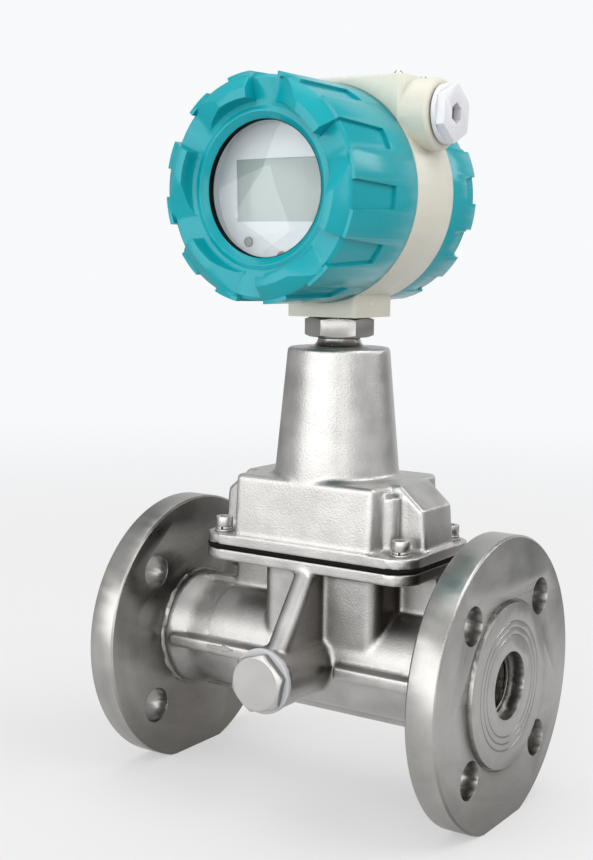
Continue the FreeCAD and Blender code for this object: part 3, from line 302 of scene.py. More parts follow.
# Name: colour, roughness, waves per metre, depth of the waves, and what differs from plain paint
COATINGS = {
    # The paler edges that lift gives are partly wear and partly painted highlight
    "teal paint": ("teal", 0.22, 700.0, 0.03 * MM, dict(lift=0.15, Specular_IOR_Level=0.35)),
    "cream paint": ("cream", 0.38, 700.0, 0.03 * MM, {}),
    "white plastic": ("white_plastic", 0.25, 200.0, 0.02 * MM, {}),
    "white seal": ((0.55, 0.56, 0.57), 0.45, 900.0, 0.03 * MM, {}),
    "black rubber": ((0.004, 0.004, 0.004), 0.8, 1500.0, 0.05 * MM,
                     dict(lift=0.0, Specular_IOR_Level=0.15)),
    "black metal": ((0.02, 0.02, 0.022), 0.35, 2500.0, 0.01 * MM, {}),
    "black plastic": ((0.02, 0.02, 0.02), 0.45, 1500.0, 0.03 * MM, {}),
    "face film": ("face_film", 0.35, 120.0, 0.01 * MM, {}),
    "display glass": ("display", 0.15, 80.0, 0.005 * MM, {}),
    "circuit board": ((0.01, 0.10, 0.03), 0.35, 1200.0, 0.03 * MM, {}),
    "grey key": ((0.20, 0.21, 0.23), 0.5, 900.0, 0.03 * MM, {}),
}


def feed(tree, node, values):
    """Fills a node's inputs: a value that is a socket is linked, any other is set."""
    for socket, value in (values or {}).items():
        if isinstance(value, bpy.types.NodeSocket):
            tree.links.new(value, node.inputs[socket])
        else:
            node.inputs[socket].default_value = value


def add(tree, kind, values=None, **settings):
    """Adds a node with its settings and inputs."""
    node = tree.nodes.new("ShaderNode" + kind)
    for name, value in settings.items():
        setattr(node, name, value)
    feed(tree, node, values)
    return node


def maths(tree, operation, first, second=0.0):
    return add(tree, "Math", {0: first, 1: second}, operation=operation).outputs[0]


def spread(tree, noise_tone, low, high):
    """Brings a noise's usual range to the range from low to high."""
    return add(tree, "MapRange", {"Value": noise_tone, "From Min": NOISE_LOW, "From Max": NOISE_HIGH,
                                  "To Min": low, "To Max": high}).outputs[0]


def scaled(tree, colour, factor):
    return add(tree, "VectorMath", {0: colour, "Scale": factor}, operation="SCALE").outputs["Vector"]


def group(name, inputs, outputs):
    """A node group; inputs and outputs are (name, kind, default)."""
    tree = bpy.data.node_groups.new(name, "ShaderNodeTree")
    for label, kind, value in inputs:
        socket = tree.interface.new_socket(label, in_out="INPUT", socket_type="NodeSocket" + kind)
        if value is not None:
            socket.default_value = value
    for label, kind in outputs:
        tree.interface.new_socket(label, in_out="OUTPUT", socket_type="NodeSocket" + kind)
    start = tree.nodes.new("NodeGroupInput")
    end = tree.nodes.new("NodeGroupOutput")
    return tree, start.outputs, end.inputs


def grain_group():
    """Fine bumps and a coarse mottle, as blasting and casting leave them."""
    tree, given, out = group("blasted grain",
                             [("Fine", "Float", 2500.0), ("Coarse", "Float", 60.0), ("Pits", "Float", 0.5)],
                             [("Height", "Float"), ("Mottle", "Float")])
    where = add(tree, "TexCoord").outputs["Object"]
    fine = add(tree, "TexNoise", {"Vector": where, "Scale": given["Fine"], "Detail": 2.0})
    cells = add(tree, "TexVoronoi", {"Vector": where, "Scale": given["Fine"]})
    coarse = add(tree, "TexNoise", {"Vector": where, "Scale": given["Coarse"], "Detail": 4.0})
    pits = maths(tree, "MULTIPLY", cells.outputs["Distance"], given["Pits"])
    height = maths(tree, "ADD", fine.outputs["Fac"], pits)
    tree.links.new(height, out["Height"])
    tree.links.new(coarse.outputs["Fac"], out["Mottle"])
    return tree


def turned_group():
    """Fine rings round the X axis of the given coordinates, as a lathe leaves them."""
    tree, given, out = group("turned marks", [("Vector", "Vector", None), ("Rings", "Float", 1500.0)],
                             [("Height", "Float"), ("Tone", "Float")])
    split = add(tree, "SeparateXYZ", {0: given["Vector"]})
    flat = add(tree, "CombineXYZ", {0: 0.0, 1: split.outputs[1], 2: split.outputs[2]})
    radius = add(tree, "VectorMath", {0: flat.outputs[0]}, operation="LENGTH").outputs["Value"]
    along = maths(tree, "ADD", radius, split.outputs[0])
    rings = add(tree, "TexNoise", {"W": along, "Scale": given["Rings"], "Detail": 1.0},
                noise_dimensions="1D")
    bands = add(tree, "TexNoise", {"W": along, "Scale": LATHE_BANDS, "Detail": 2.0},
                noise_dimensions="1D")
    tree.links.new(rings.outputs["Fac"], out["Height"])
    tree.links.new(bands.outputs["Fac"], out["Tone"])
    return tree


def edge_wear_and_highlight_group():
    """A mask of the outer edges, broken up by noise, for paler edges that are partly wear and partly
    painted highlight.
    """
    tree, given, out = group("edge wear", [("Reach", "Float", 0.06), ("Breakup", "Float", 300.0)],
                             [("Mask", "Float")])
    where = add(tree, "TexCoord").outputs["Object"]
    bent = add(tree, "NewGeometry").outputs["Pointiness"]
    top = maths(tree, "ADD", 0.5, given["Reach"])
    edge = add(tree, "MapRange", {"Value": bent, "From Min": 0.52, "From Max": top}).outputs[0]
    chips = add(tree, "TexNoise", {"Vector": where, "Scale": given["Breakup"], "Detail": 3.0})
    tree.links.new(maths(tree, "MULTIPLY", edge, chips.outputs["Fac"]), out["Mask"])
    return tree


def corner_shade_group():
    """A mask of corners and gaps, from ambient occlusion, for painted shade there."""
    tree, given, out = group("grime", [("Reach", "Float", 0.004)], [("Mask", "Float")])
    open_sky = add(tree, "AmbientOcclusion", {"Distance": given["Reach"]}, samples=4).outputs["AO"]
    tree.links.new(maths(tree, "SUBTRACT", 1.0, open_sky), out["Mask"])
    return tree


def peel_group():
    """The soft waves of sprayed paint."""
    tree, given, out = group("paint waves", [("Scale", "Float", 700.0)],
                             [("Height", "Float"), ("Tone", "Float")])
    where = add(tree, "TexCoord").outputs["Object"]
    waves = add(tree, "TexNoise", {"Vector": where, "Scale": given["Scale"], "Detail": 1.0})
    tone = add(tree, "TexNoise", {"Vector": where, "Scale": PAINT_CLOUDS, "Detail": 2.0})
    tree.links.new(waves.outputs["Fac"], out["Height"])
    tree.links.new(tone.outputs["Fac"], out["Tone"])
    return tree


def sheltered_shade_group():
    """A mask for painted shade, with a brown tint, on sheltered faces that look along the flow and on the
    insides of holes.
    """
    tree, given, out = group("patina", [("Reach", "Float", SHELTER), ("Amount", "Float", 1.0)],
                             [("Mask", "Float")])
    hidden = effect(tree, "grime", {"Reach": given["Reach"]})["Mask"]
    sheltered_shade_mask = add(tree, "MapRange", {"Value": hidden, "From Min": 0.05, "From Max": 0.42,
                                     "To Max": given["Amount"]}).outputs[0]
    facing = add(tree, "SeparateXYZ", {0: add(tree, "TexCoord").outputs["Normal"]}).outputs[0]
    along = add(tree, "MapRange", {"Value": maths(tree, "ABSOLUTE", facing), "From Min": 0.2,
                                   "From Max": 0.8, "To Min": 0.15}).outputs[0]
    inside = add(tree, "MapRange", {"Value": hidden, "From Min": 0.68, "From Max": 0.9}).outputs[0]
    mask = maths(tree, "MAXIMUM", maths(tree, "MULTIPLY", sheltered_shade_mask, along), inside)
    tree.links.new(mask, out["Mask"])
    return tree


def effect(tree, name, values=None):
    """Places one of the shared effects in a material."""
    makers = {"grain": grain_group, "turned": turned_group, "wear": edge_wear_and_highlight_group, "grime": corner_shade_group,
              "peel": peel_group, "patina": sheltered_shade_group, "room": room_group}
    shared = bpy.data.node_groups.get("effect " + name)
    if shared is None:
        shared = makers[name]()
        shared.name = "effect " + name
    node = tree.nodes.new("ShaderNodeGroup")
    node.node_tree = shared
    feed(tree, node, values)
    return node.outputs


def blank_material(name, **plain):
    """A material with one Principled shader, whose plain values are set on its own sockets."""
    material = bpy.data.materials.new(name)
    material.use_nodes = True
    tree = material.node_tree
    shader = tree.nodes["Principled BSDF"]
    for socket, value in plain.items():
        shader.inputs[socket.replace("_", " ")].default_value = value
    return material, tree, shader


def shade(tree, colour, variation, tone):
    """A colour made lighter or darker, up to the variation, by a tone around 0.5."""
    return scaled(tree, colour, spread(tree, tone, 1 - variation, 1 + variation))


def mix_colour(tree, mask, first, second):
    node = add(tree, "Mix", {0: mask}, data_type="RGBA")
    for index, value in ((6, first), (7, second)):
        if isinstance(value, bpy.types.NodeSocket):
            tree.links.new(value, node.inputs[index])
        else:
            node.inputs[index].default_value = tuple(value[:3]) + (1.0,)
    return node.outputs[2]


def bump(tree, height, strength, distance, after=None):
    values = {"Height": height, "Strength": strength, "Distance": distance}
    if after is not None:
        values["Normal"] = after
    return add(tree, "Bump", values).outputs["Normal"]


def metal(name, colour, roughness, fine, depth, variation=0.1, dirt=0.35, lathe=None, patina=0.0):
    """Bare steel: grain, mottle, paler edges that are partly wear and partly painted highlight,
    painted shade in the corners, painted shade with a brown tint where it is sheltered, and lathe
    marks where lathe gives the place and the turn of the lathe's axis."""
    material, tree, shader = blank_material(name, Metallic=1.0)
    grain = effect(tree, "grain", {"Fine": fine})
    tint = shade(tree, colour, variation, grain["Mottle"])
    normal = bump(tree, grain["Height"], 0.6, depth)
    rough = spread(tree, grain["Mottle"], roughness - 0.05, roughness + 0.05)
    if lathe:
        centre, turn = lathe
        where = add(tree, "TexCoord").outputs["Object"]
        moved = add(tree, "Mapping", {"Vector": where, "Location": [-c for c in centre]})
        faced = add(tree, "Mapping", {"Vector": moved.outputs[0], "Rotation": turn})
        marks = effect(tree, "turned", {"Vector": faced.outputs[0], "Rings": LATHE_RINGS})
        normal = bump(tree, marks["Height"], 0.3, LATHE_DEPTH, normal)
        tint = shade(tree, tint, 0.03, marks["Tone"])
    # Paler edges: partly wear, partly painted highlight
    edges = maths(tree, "MULTIPLY", effect(tree, "wear")["Mask"], STEEL_EDGES)
    tint = mix_colour(tree, edges, tint, [min(1.0, c * STEEL_EDGE_LIGHT) for c in colour])
    # Painted shade in corners and gaps
    corners = maths(tree, "MULTIPLY", effect(tree, "grime")["Mask"], dirt)
    tint = mix_colour(tree, corners, tint, [c * STEEL_CORNER_SHADE for c in colour])
    # Painted shade with a brown tint on sheltered faces and in holes
    if patina:
        sheltered_shade_mask = effect(tree, "patina", {"Amount": patina})["Mask"]
        tint = mix_colour(tree, sheltered_shade_mask, tint, [c * k for c, k in zip(colour, SHELTERED_SHADE_TINT)])
    tree.links.new(tint, shader.inputs["Base Color"])
    tree.links.new(rough, shader.inputs["Roughness"])
    tree.links.new(normal, shader.inputs["Normal"])
    return material


def coating(name, colour, roughness, wave, depth, lift=0.25, **plain):
    """Paint or moulded plastic: soft waves, faint tone changes, paler edges that are partly wear and partly
    painted highlight, and painted shade in the corners.
    """
    material, tree, shader = blank_material(name, **plain)
    peel = effect(tree, "peel", {"Scale": wave})
    tint = shade(tree, colour, PAINT_VARIATION, peel["Tone"])
    # Paler edges: partly wear, partly painted highlight
    edges = maths(tree, "MULTIPLY", effect(tree, "wear", {"Reach": 0.1})["Mask"], lift)
    tint = mix_colour(tree, edges, tint, [c + (1 - c) * PAINT_EDGE_LIGHT for c in colour])
    # Painted shade in corners and gaps
    corners = maths(tree, "MULTIPLY", effect(tree, "grime", {"Reach": 0.005})["Mask"], PAINT_CORNER_SHADING)
    tint = mix_colour(tree, corners, tint, [c * PAINT_CORNER_SHADE for c in colour])
    rough = spread(tree, peel["Tone"], roughness - 0.03, roughness + 0.03)
    tree.links.new(tint, shader.inputs["Base Color"])
    tree.links.new(rough, shader.inputs["Roughness"])
    tree.links.new(bump(tree, peel["Height"], 0.4, depth), shader.inputs["Normal"])
    return material


def glass(name):
    """Clear toughened glass that lets the lamps through."""
    material, tree, shader = blank_material(name, Roughness=0.0, IOR=1.5, Transmission_Weight=1.0)
    shader.inputs["Base Color"].default_value = (0.97, 0.99, 0.99, 1.0)
    smudge = effect(tree, "peel", {"Scale": 90.0})
    tree.links.new(bump(tree, smudge["Height"], 0.05, 0.02 * MM), shader.inputs["Normal"])
    shadow = add(tree, "LightPath").outputs["Is Shadow Ray"]
    clear = add(tree, "BsdfTransparent", {"Color": (0.95, 0.97, 0.97, 1.0)})
    mixed = add(tree, "MixShader", {0: shadow, 1: shader.outputs[0], 2: clear.outputs[0]})
    tree.links.new(mixed.outputs[0], tree.nodes["Material Output"].inputs["Surface"])
    return material


def finish(name):
    """One of the meter's finishes, made when it is first asked for."""
    made = bpy.data.materials.get(name)
    if made is not None:
        return made
    if name == "window glass":
        return glass(name)
    maker, table = (metal, METALS) if name in METALS else (coating, COATINGS)
    if name not in table:
        raise RuntimeError("there is no finish named " + name)
    colour, roughness, scale, depth, more = table[name]
    if isinstance(colour, str):
        colour = getattr(bpy.context.scene.meter_colours, colour)
    return maker(name, colour, roughness, scale, depth, **more)


# Pieces

class METER_OT_flanges(bpy.types.Operator):
    """Both flanges, turned, with broken edges and lathe marks"""
    bl_idname = "meter.flanges"
    bl_label = "Flanges"

    def execute(self, context):
        for node in ("inlet_flange", "outlet_flange"):
            dressed(node, finish("turned flange"), context.scene.meter_sizes.turned_edge)
        return {"FINISHED"}


BLEND_FROM, BLEND_TO = 5 * MM, 26 * MM
BLEND_INNER, BLEND_OUTER = 22 * MM, 30.6 * MM
BLEND_FACING = 0.8
WELD_RADIUS = 29.7 * MM
WELD_THICKNESS = 1.9 * MM
WELD_UNEVEN, WELD_WAVES = 0.35, 230
ARROW_START, ARROW_NECK, ARROW_TIP = 48.1 * MM, 57.5 * MM, 63.9 * MM
ARROW_MIDDLE = 1.0 * MM
ARROW_FACE = -32.8 * MM
ARROW_DEPTH = 1.0 * MM
ARROW_SHAFT, ARROW_HEAD = 0.8 * MM, 1.8 * MM
ARROW_LINE = 0.35 * MM
ARROW_HOLLOW = 0.25 * MM


def on_tube(point):
    """True on the round outside of the tube near its thicker ends, between the ribs."""
    across = Vector((0.0, point.co.y, point.co.z))
    from_end = min(point.co.x - TUBE_START, TUBE_END - point.co.x)
    return (BLEND_FROM < from_end < BLEND_TO and BLEND_INNER < across.length < BLEND_OUTER
            and point.normal.dot(across.normalized()) > BLEND_FACING)


def weld_bead(along):
    """A weld's uneven bead around the tube, at a place along the flow."""
    shape = bmesh.new()
    bmesh.ops.create_circle(shape, cap_ends=False, segments=10, radius=WELD_THICKNESS)
    bmesh.ops.translate(shape, verts=shape.verts, vec=(0.0, WELD_RADIUS, 0.0))
    bmesh.ops.spin(shape, geom=shape.edges[:] + shape.verts[:], cent=(0, 0, 0), axis=(1, 0, 0),
                   angle=math.tau, steps=300, use_merge=True, use_normal_flip=False, use_duplicate=False)
    bmesh.ops.recalc_face_normals(shape, faces=shape.faces)
    shape.normal_update()
    for point in shape.verts:
        point.co += point.normal * WELD_UNEVEN * WELD_THICKNESS * noise(point.co * WELD_WAVES)
    bmesh.ops.translate(shape, verts=shape.verts, vec=(along, 0.0, 0.0))
    return shape


def flow_arrow():
    """A raised arrow on the front rib that shows the direction of flow."""
    shape = bmesh.new()
    outline = [(ARROW_START, ARROW_SHAFT), (ARROW_NECK, ARROW_SHAFT), (ARROW_NECK, ARROW_HEAD),
               (ARROW_TIP, 0.0), (ARROW_NECK, -ARROW_HEAD), (ARROW_NECK, -ARROW_SHAFT),
               (ARROW_START, -ARROW_SHAFT)]
    back = [shape.verts.new((x, ARROW_FACE + ARROW_DEPTH, ARROW_MIDDLE + z)) for x, z in outline]
    face = shape.faces.new(back)
    front = bmesh.ops.extrude_face_region(shape, geom=[face])["geom"]
    bmesh.ops.translate(shape, verts=[item for item in front if isinstance(item, bmesh.types.BMVert)],
                        vec=(0.0, -ARROW_DEPTH, 0.0))
    top = [item for item in front if isinstance(item, bmesh.types.BMFace)]
    bmesh.ops.inset_region(shape, faces=top, thickness=ARROW_LINE, depth=0.0)
    bmesh.ops.translate(shape, verts=top[0].verts, vec=(0.0, ARROW_HOLLOW, 0.0))
    bmesh.ops.recalc_face_normals(shape, faces=shape.faces)
    return shape


class METER_OT_flow_tube(bpy.types.Operator):
    """The cast flow tube with its ribs, chamber and boss"""
    bl_idname = "meter.flow_tube"
    bl_label = "Flow tube"

    def execute(self, context):
        sizes = context.scene.meter_sizes
        casting("meter_body", finish("blasted casting"), sizes.cast_voxel, rounds=2, fillets=6,
                blend=on_tube)
        place("flow_arrow", flow_arrow(), finish("blasted casting"), "meter_body")
        for side, along in (("inlet", TUBE_START), ("outlet", TUBE_END)):
            place("weld_" + side, weld_bead(along), finish("blasted casting"), "meter_body")
        return {"FINISHED"}


class METER_OT_bore_parts(bpy.types.Operator):
    """The swirler, the straightener and their rings in the bore"""
    bl_idname = "meter.bore_parts"
    bl_label = "Parts in the bore"

    def execute(self, context):
        for node in ("inlet_swirler", "flow_straightener"):
            dressed(node, finish("turned flange"), edge=0.2 * MM)
        for node in ("inlet_retaining_ring", "outlet_retaining_ring"):
            dressed(node, finish("spring steel"), edge=0.15 * MM)
        return {"FINISHED"}


class METER_OT_sensors(bpy.types.Operator):
    """The sensors in the chamber and the clamp that holds them"""
    bl_idname = "meter.sensors"
    bl_label = "Sensors"

    def execute(self, context):
        for node in ("vortex_probe", "probe_clamp", "temperature_probe", "pressure_sensor"):
            dressed(node, finish("turned steel"), edge=0.2 * MM)
        dressed("clamp_screws", finish("bright steel"), edge=0.2 * MM)
        return {"FINISHED"}


PLUG_HEX = 25.0 * MM
PLUG_TURN = 17.0
PLUG_FACE = PLUG_HEX / 2 - 0.1 * MM
PLUG_SHANK = 9.9 * MM
PLUG_CHAMFER = 0.58


def side_plug_head():
    """The plug's shank and its hexagon, with the corners turned off towards the face."""
    low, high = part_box("side_plug")
    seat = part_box("plug_washer")[0].y
    thick = seat - low.y
    outline = hexagonal(PLUG_HEX, PLUG_TURN)
    shape = lofted([(seat - high.y, PLUG_SHANK), (0.0, PLUG_SHANK), (0.0, outline), (thick, outline),
                    (thick, lambda angle: min(outline(angle), PLUG_FACE))], segments=96)
    for point in shape.verts:
        reach = math.hypot(point.co.x, point.co.y)
        if point.co.z > thick / 2 and reach > PLUG_FACE:
            point.co.z -= (reach - PLUG_FACE) * PLUG_CHAMFER
    return facing_front(shape, (HEAD_X, seat, 0.0))


class METER_OT_side_plug(bpy.types.Operator):
    """The hexagon plug of the side boss and its washer"""
    bl_idname = "meter.side_plug"
    bl_label = "Side plug"

    def execute(self, context):
        shape = side_plug_head()
        plug = place("side_plug_head", shape, finish("plug steel"), "side_plug", ("side_plug",))
        broken_edges(plug, width=0.25 * MM)
        dressed("plug_washer", finish("white seal"), edge=0.5 * MM, segments=3)
        return {"FINISHED"}


class METER_OT_sensor_cover(bpy.types.Operator):
    """The cast cover over the sensors with its neck, and its gasket"""
    bl_idname = "meter.sensor_cover"
    bl_label = "Sensor cover"

    def execute(self, context):
        sizes = context.scene.meter_sizes
        casting("sensor_cover", finish("cover casting"), sizes.cover_voxel, rounds=3, fillets=18)
        dressed("cover_gasket", finish("black rubber"), edge=0.2 * MM)
        return {"FINISHED"}


class METER_OT_cover_screws(bpy.types.Operator):
    """The socket screws of the cover with their spring and flat washers"""
    bl_idname = "meter.cover_screws"
    bl_label = "Cover screws"

    def execute(self, context):
        for node in ("cover_screws", "spring_washers", "flat_washers"):
            dressed(node, finish("screw steel"), edge=0.2 * MM)
        return {"FINISHED"}


class METER_OT_stem(bpy.types.Operator):
    """The stem that carries the head, with its two nuts"""
    bl_idname = "meter.stem"
    bl_label = "Stem and nuts"

    def execute(self, context):
        dressed("stem_tube", finish("turned steel"))
        for node in ("stem_backing_nut", "stem_lock_nut"):
            dressed(node, finish("nut steel"))
        return {"FINISHED"}


SET_SCREW_PLACE = Vector((122.6, -2.6, 174.6)) * MM
SET_SCREW_ROWS = [(-2.0 * MM, 1.5 * MM), (0.25 * MM, 1.5 * MM), (0.4 * MM, 1.25 * MM)]


class METER_OT_head_housing(bpy.types.Operator):
    """The painted housing of the head, with the rings that seal its covers"""
    bl_idname = "meter.head_housing"
    bl_label = "Head housing"

    def execute(self, context):
        dressed("head_housing", finish("cream paint"), edge=0.6 * MM)
        shape = lofted(SET_SCREW_ROWS, segments=48)
        bmesh.ops.rotate(shape, verts=shape.verts, matrix=Matrix.Rotation(math.radians(90), 3, "Y"))
        bmesh.ops.translate(shape, verts=shape.verts, vec=SET_SCREW_PLACE)
        place("set_screw", shape, finish("cream paint"), "head_housing")
        for node in ("front_o_ring", "back_o_ring"):
            dressed(node, finish("black rubber"), edge=0.1 * MM)
        return {"FINISHED"}


class METER_OT_covers(bpy.types.Operator):
    """The two threaded covers with their lugs"""
    bl_idname = "meter.covers"
    bl_label = "Threaded covers"

    def execute(self, context):
        for node in ("front_cover", "back_cover"):
            dressed(node, finish("teal paint"), context.scene.meter_sizes.paint_edge, segments=3)
        return {"FINISHED"}


SLEEVE_REACH = (61.6 * MM, 64.9 * MM)
SLEEVE_WALL = (30.35 * MM, 30.68 * MM)


def window_sleeve():
    """The lip of the window's gasket, a thin sleeve inside the opening in front of the glass."""
    shape = bmesh.new()
    (inner, outer), (back, front) = SLEEVE_WALL, SLEEVE_REACH
    corners = [shape.verts.new((radius, 0.0, along)) for radius, along in
               ((inner, back), (outer, back), (outer, front), (inner, front))]
    shape.faces.new(corners)
    bmesh.ops.spin(shape, geom=shape.faces[:] + shape.edges[:] + shape.verts[:], cent=(0, 0, 0),
                   axis=(0, 0, 1), angle=math.tau, steps=120, use_merge=True, use_normal_flip=False,
                   use_duplicate=False)
    bmesh.ops.recalc_face_normals(shape, faces=shape.faces)
    return facing_front(shape, (HEAD_X, 0.0, HEAD_Z))


class METER_OT_window(bpy.types.Operator):
    """The window with its gasket and clamp ring"""
    bl_idname = "meter.window"
    bl_label = "Window"

    def execute(self, context):
        dressed("window_glass", finish("window glass"))
        dressed("window_gasket", finish("black rubber"), edge=0.2 * MM)
        place("window_gasket_lip", window_sleeve(), finish("black rubber"), "window_gasket")
        dressed("window_clamp_ring", finish("black metal"))
        return {"FINISHED"}


class METER_OT_display(bpy.types.Operator):
    """The display behind the window, with its face plate and keys"""
    bl_idname = "meter.display"
    bl_label = "Display"

    def execute(self, context):
        dressed("display_module", finish("white plastic"), edge=0.5 * MM)
        dressed("display_face_plate", finish("face film"))
        dressed("lcd_panel", finish("display glass"), edge=0.2 * MM)
        for node in ("key_1", "key_2", "key_3"):
            dressed(node, finish("grey key"))
        return {"FINISHED"}


class METER_OT_terminals(bpy.types.Operator):
    """The circuit board and the terminals in the back chamber"""
    bl_idname = "meter.terminals"
    bl_label = "Board and terminals"

    def execute(self, context):
        dressed("circuit_board", finish("circuit board"), edge=0.1 * MM)
        dressed("board_posts", finish("bright steel"), edge=0.2 * MM)
        dressed("terminal_block", finish("black plastic"))
        dressed("terminal_screws", finish("bright steel"), edge=0.2 * MM)
        return {"FINISHED"}


class METER_OT_name_plate(bpy.types.Operator):
    """The bare plate on top of the head and its rivets"""
    bl_idname = "meter.name_plate"
    bl_label = "Top plate"

    def execute(self, context):
        dressed("name_plate", finish("bare plate"), edge=0.15 * MM)
        dressed("name_plate_rivets", finish("bright steel"), edge=0.2 * MM)
        return {"FINISHED"}


class METER_OT_conduit_plugs(bpy.types.Operator):
    """The white plugs of both conduit entries with their seals"""
    bl_idname = "meter.conduit_plugs"
    bl_label = "Conduit plugs"

    def execute(self, context):
        for side in ("right", "left"):
            dressed("conduit_plug_" + side, finish("white plastic"), edge=0.8 * MM, segments=3)
            dressed("conduit_seal_" + side, finish("black rubber"), edge=0.2 * MM)
        return {"FINISHED"}


# Studio

CAMERA_PLACE = Vector((463.12, -571.55, 193.89)) * MM
CAMERA_YAW = -0.592
CAMERA_PITCH = 0.121
CAMERA_ROLL = 0.012


def camera_turn():
    """The camera's turn from its yaw, its downward pitch and its roll."""
    ahead = Vector((math.sin(CAMERA_YAW) * math.cos(CAMERA_PITCH),
                    math.cos(CAMERA_YAW) * math.cos(CAMERA_PITCH), -math.sin(CAMERA_PITCH)))
    level = Vector((math.cos(CAMERA_YAW), -math.sin(CAMERA_YAW), 0.0))
    upright = level.cross(ahead)
    right = math.cos(CAMERA_ROLL) * level + math.sin(CAMERA_ROLL) * upright
    up = -math.sin(CAMERA_ROLL) * level + math.cos(CAMERA_ROLL) * upright
    return Matrix((right, up, -ahead)).transposed()


# Name, direction and height in degrees, distance, width and height in metres, brightness
LAMPS = (("softbox_front", -97, 15, 1.9, 2.65, 1.35, "front"),
         ("softbox_beside", -45, 15, 1.9, 0.52, 1.35, "front"),
         ("softbox_right", 5, 50, 1.8, 1.2, 1.0, "right"),
         ("softbox_low", 45, 24, 1.9, 0.8, 0.5, "low"),
         ("softbox_top", 180, 80, 1.7, 1.4, 1.2, "top"))
FLOOR_RADIUS = 7.0
FADE_FROM, FADE_TO, FADE_MIRRORED = 0.25, 1.7, 0.75
FLOOR_LIFT = 0.45
MIDDLE = Vector((MIDDLE_X, 0.0, 0.08))
# How bright the room's wall looks in the steel, by its direction in degrees from the outlet's
# side towards the back cover's
ROOM_TONES = ((-180, 0.5), (-145, 0.55), (-132, 0.95), (-51, 0.95), (-20, 0.9), (0, 0.8), (32, 0.75),
              (48, 0.5), (56, 0.32), (66, 0.32), (74, 0.5), (82, 0.95), (110, 0.95), (130, 0.75),
              (150, 0.3), (180, 0.5))


def softbox(name, azimuth, elevation, distance, width, height, brightness):
    """A flat lamp that faces the meter, placed by its direction from there."""
    light = bpy.data.lights.new(name, "AREA")
    light.shape = "RECTANGLE"
    light.size = width
    light.size_y = height
    light.energy = math.pi * brightness * width * height
    a, e = math.radians(azimuth), math.radians(elevation)
    away = Vector((math.cos(a) * math.cos(e), math.sin(a) * math.cos(e), math.sin(e)))
    lamp = bpy.data.objects.new(name, light)
    lamp.location = MIDDLE + distance * away
    lamp.rotation_euler = (-away).to_track_quat("-Z", "Y").to_euler()
    bpy.context.scene.collection.objects.link(lamp)


def room_group():
    """The tone of the room's wall in a direction."""
    tree, given, out = group("room tones", [("Way", "Vector", None)], [("Tone", "Float")])
    split = add(tree, "SeparateXYZ", {0: given["Way"]})
    turn = maths(tree, "ARCTAN2", split.outputs[1], split.outputs[0])
    share = add(tree, "MapRange", {"Value": turn, "From Min": -math.pi, "From Max": math.pi}).outputs[0]
    wall = add(tree, "ValToRGB", {0: share})
    stops = wall.color_ramp.elements
    while len(stops) < len(ROOM_TONES):
        stops.new(0.5)
    for stop, (azimuth, tone) in zip(stops, ROOM_TONES):
        stop.position = azimuth / 360 + 0.5
        stop.color = (tone, tone, tone, 1.0)
    tree.links.new(wall.outputs[0], out["Tone"])
    return tree


def light_paths(tree):
    """Whether a ray comes from the camera, and whether it is a reflection or passes through glass."""
    path = add(tree, "LightPath").outputs
    mirrored = maths(tree, "MAXIMUM", path["Is Glossy Ray"], path["Is Transmission Ray"])
    return path["Is Camera Ray"], mirrored


def wall_strength(tree, studio, way):
    """How bright the room's wall is in a direction: white for the camera, in its tones for what
    reflects it, and as even light for all else."""
    camera, mirrored = light_paths(tree)
    tones = effect(tree, "room", {"Way": way})["Tone"]
    unseen = add(tree, "Mix", {0: mirrored, 2: studio.sky, 3: tones}).outputs[0]
    return add(tree, "Mix", {0: camera, 2: unseen, 3: 1.0}).outputs[0]


def floor_material(studio):
    """A matt floor that keeps the shadow and fades into the backdrop far from the meter."""
    material, tree, shader = blank_material("pale floor", Roughness=0.9, Specular_IOR_Level=0.1)
    shader.inputs["Base Color"].default_value = tuple(studio.floor) + (1.0,)
    where = add(tree, "TexCoord").outputs["Object"]
    way = add(tree, "VectorMath", {0: where, 1: (HEAD_X, 0.0, FLOOR_Z)},
              operation="SUBTRACT").outputs["Vector"]
    away = add(tree, "VectorMath", {0: way}, operation="LENGTH").outputs["Value"]
    camera, mirrored = light_paths(tree)
    until = add(tree, "Mix", {0: mirrored, 2: FADE_TO, 3: FADE_MIRRORED}).outputs[0]
    fade = add(tree, "MapRange", {"Value": away, "From Min": FADE_FROM, "From Max": until},
               interpolation_type="SMOOTHSTEP").outputs[0]
    seen = maths(tree, "MAXIMUM", camera, mirrored)
    lift = mix_colour(tree, seen, (0.0, 0.0, 0.0), [FLOOR_LIFT] * 3)
    tree.links.new(lift, shader.inputs["Emission Color"])
    shader.inputs["Emission Strength"].default_value = 1.0
    far = add(tree, "Emission", {"Color": tuple(studio.backdrop) + (1.0,),
                                 "Strength": wall_strength(tree, studio, way)})
    mixed = add(tree, "MixShader", {0: fade, 1: shader.outputs[0], 2: far.outputs[0]})
    tree.links.new(mixed.outputs[0], tree.nodes["Material Output"].inputs["Surface"])
    return material


def room(studio):
    """The room: pale where the camera looks, and of many tones in what the steel reflects."""
    world = bpy.data.worlds.new("studio")
    world.use_nodes = True
    tree = world.node_tree
    way = add(tree, "TexCoord").outputs["Generated"]
    feed(tree, tree.nodes["Background"], {"Color": tuple(studio.backdrop) + (1.0,),
                                          "Strength": wall_strength(tree, studio, way)})
    return world


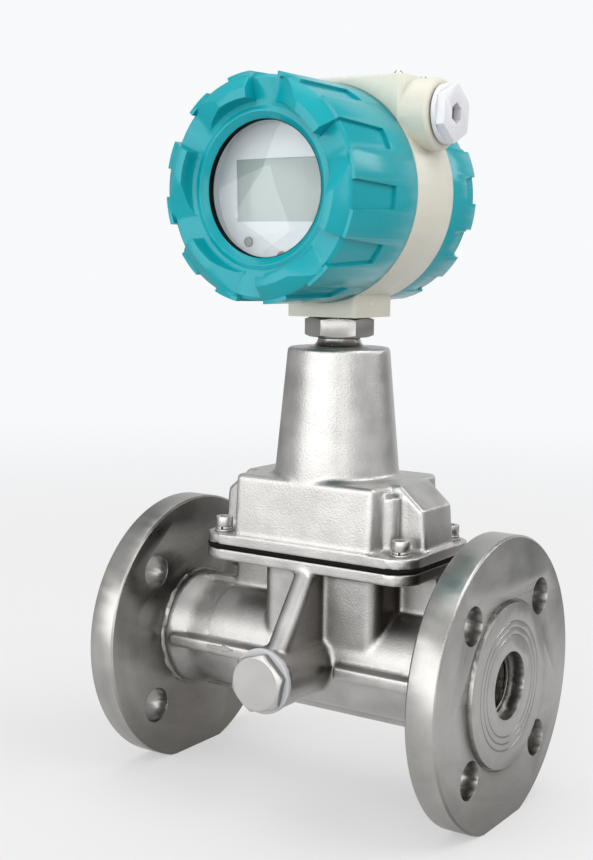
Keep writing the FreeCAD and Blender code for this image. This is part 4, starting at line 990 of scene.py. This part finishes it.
class METER_OT_studio(bpy.types.Operator):
    """A plain pale floor that fades into a pale backdrop, soft lamps and the camera"""
    bl_idname = "meter.studio"
    bl_label = "Studio"

    def execute(self, context):
        studio = context.scene.meter_studio
        shape = bmesh.new()
        bmesh.ops.create_circle(shape, cap_ends=True, segments=96, radius=FLOOR_RADIUS)
        bmesh.ops.translate(shape, verts=shape.verts, vec=(MIDDLE_X, 0, FLOOR_Z))
        mesh = bpy.data.meshes.new("studio_floor")
        shape.to_mesh(mesh)
        shape.free()
        mesh.materials.append(floor_material(studio))
        floor = bpy.data.objects.new("studio_floor", mesh)
        context.scene.collection.objects.link(floor)
        context.scene.world = room(studio)
        for name, azimuth, elevation, distance, width, height, setting in LAMPS:
            softbox(name, azimuth, elevation, distance, width, height, getattr(studio, setting))

        camera = bpy.data.objects.new("camera", bpy.data.cameras.new("camera"))
        camera.data.lens = studio.lens
        camera.data.sensor_width = 36.0
        camera.data.clip_end = 20.0
        camera.matrix_world = Matrix.Translation(CAMERA_PLACE) @ camera_turn().to_4x4()
        context.scene.collection.objects.link(camera)
        context.scene.camera = camera
        context.scene.view_settings.view_transform = "Standard"
        return {"FINISHED"}


STEPS = (METER_OT_flanges, METER_OT_flow_tube, METER_OT_bore_parts, METER_OT_sensors, METER_OT_side_plug,
         METER_OT_sensor_cover, METER_OT_cover_screws, METER_OT_stem, METER_OT_head_housing,
         METER_OT_covers, METER_OT_window, METER_OT_display, METER_OT_terminals, METER_OT_name_plate,
         METER_OT_conduit_plugs, METER_OT_studio)


class METER_PT_panel(bpy.types.Panel):
    """The meter's settings and steps"""
    bl_idname = "METER_PT_panel"
    bl_label = "Flow meter"
    bl_space_type = "VIEW_3D"
    bl_region_type = "UI"
    bl_category = "Flow meter"

    def draw(self, context):
        scene = context.scene
        for settings in (scene.meter_colours, scene.meter_sizes, scene.meter_studio):
            box = self.layout.box()
            for name in settings.__annotations__:
                box.prop(settings, name)
        for step in STEPS:
            self.layout.operator(step.bl_idname)


CLASSES = (MeterColours, MeterSizes, MeterStudio) + STEPS + (METER_PT_panel,)


def register():
    for item in CLASSES:
        bpy.utils.register_class(item)
    bpy.types.Scene.meter_colours = PointerProperty(type=MeterColours)
    bpy.types.Scene.meter_sizes = PointerProperty(type=MeterSizes)
    bpy.types.Scene.meter_studio = PointerProperty(type=MeterStudio)


def unregister():
    for name in ("meter_colours", "meter_sizes", "meter_studio"):
        delattr(bpy.types.Scene, name)
    for item in reversed(CLASSES):
        bpy.utils.unregister_class(item)


def main():
    register()
    for step in STEPS:
        group_name, name = step.bl_idname.split(".")
        getattr(getattr(bpy.ops, group_name), name)()


if __name__ == "__main__":
    main()
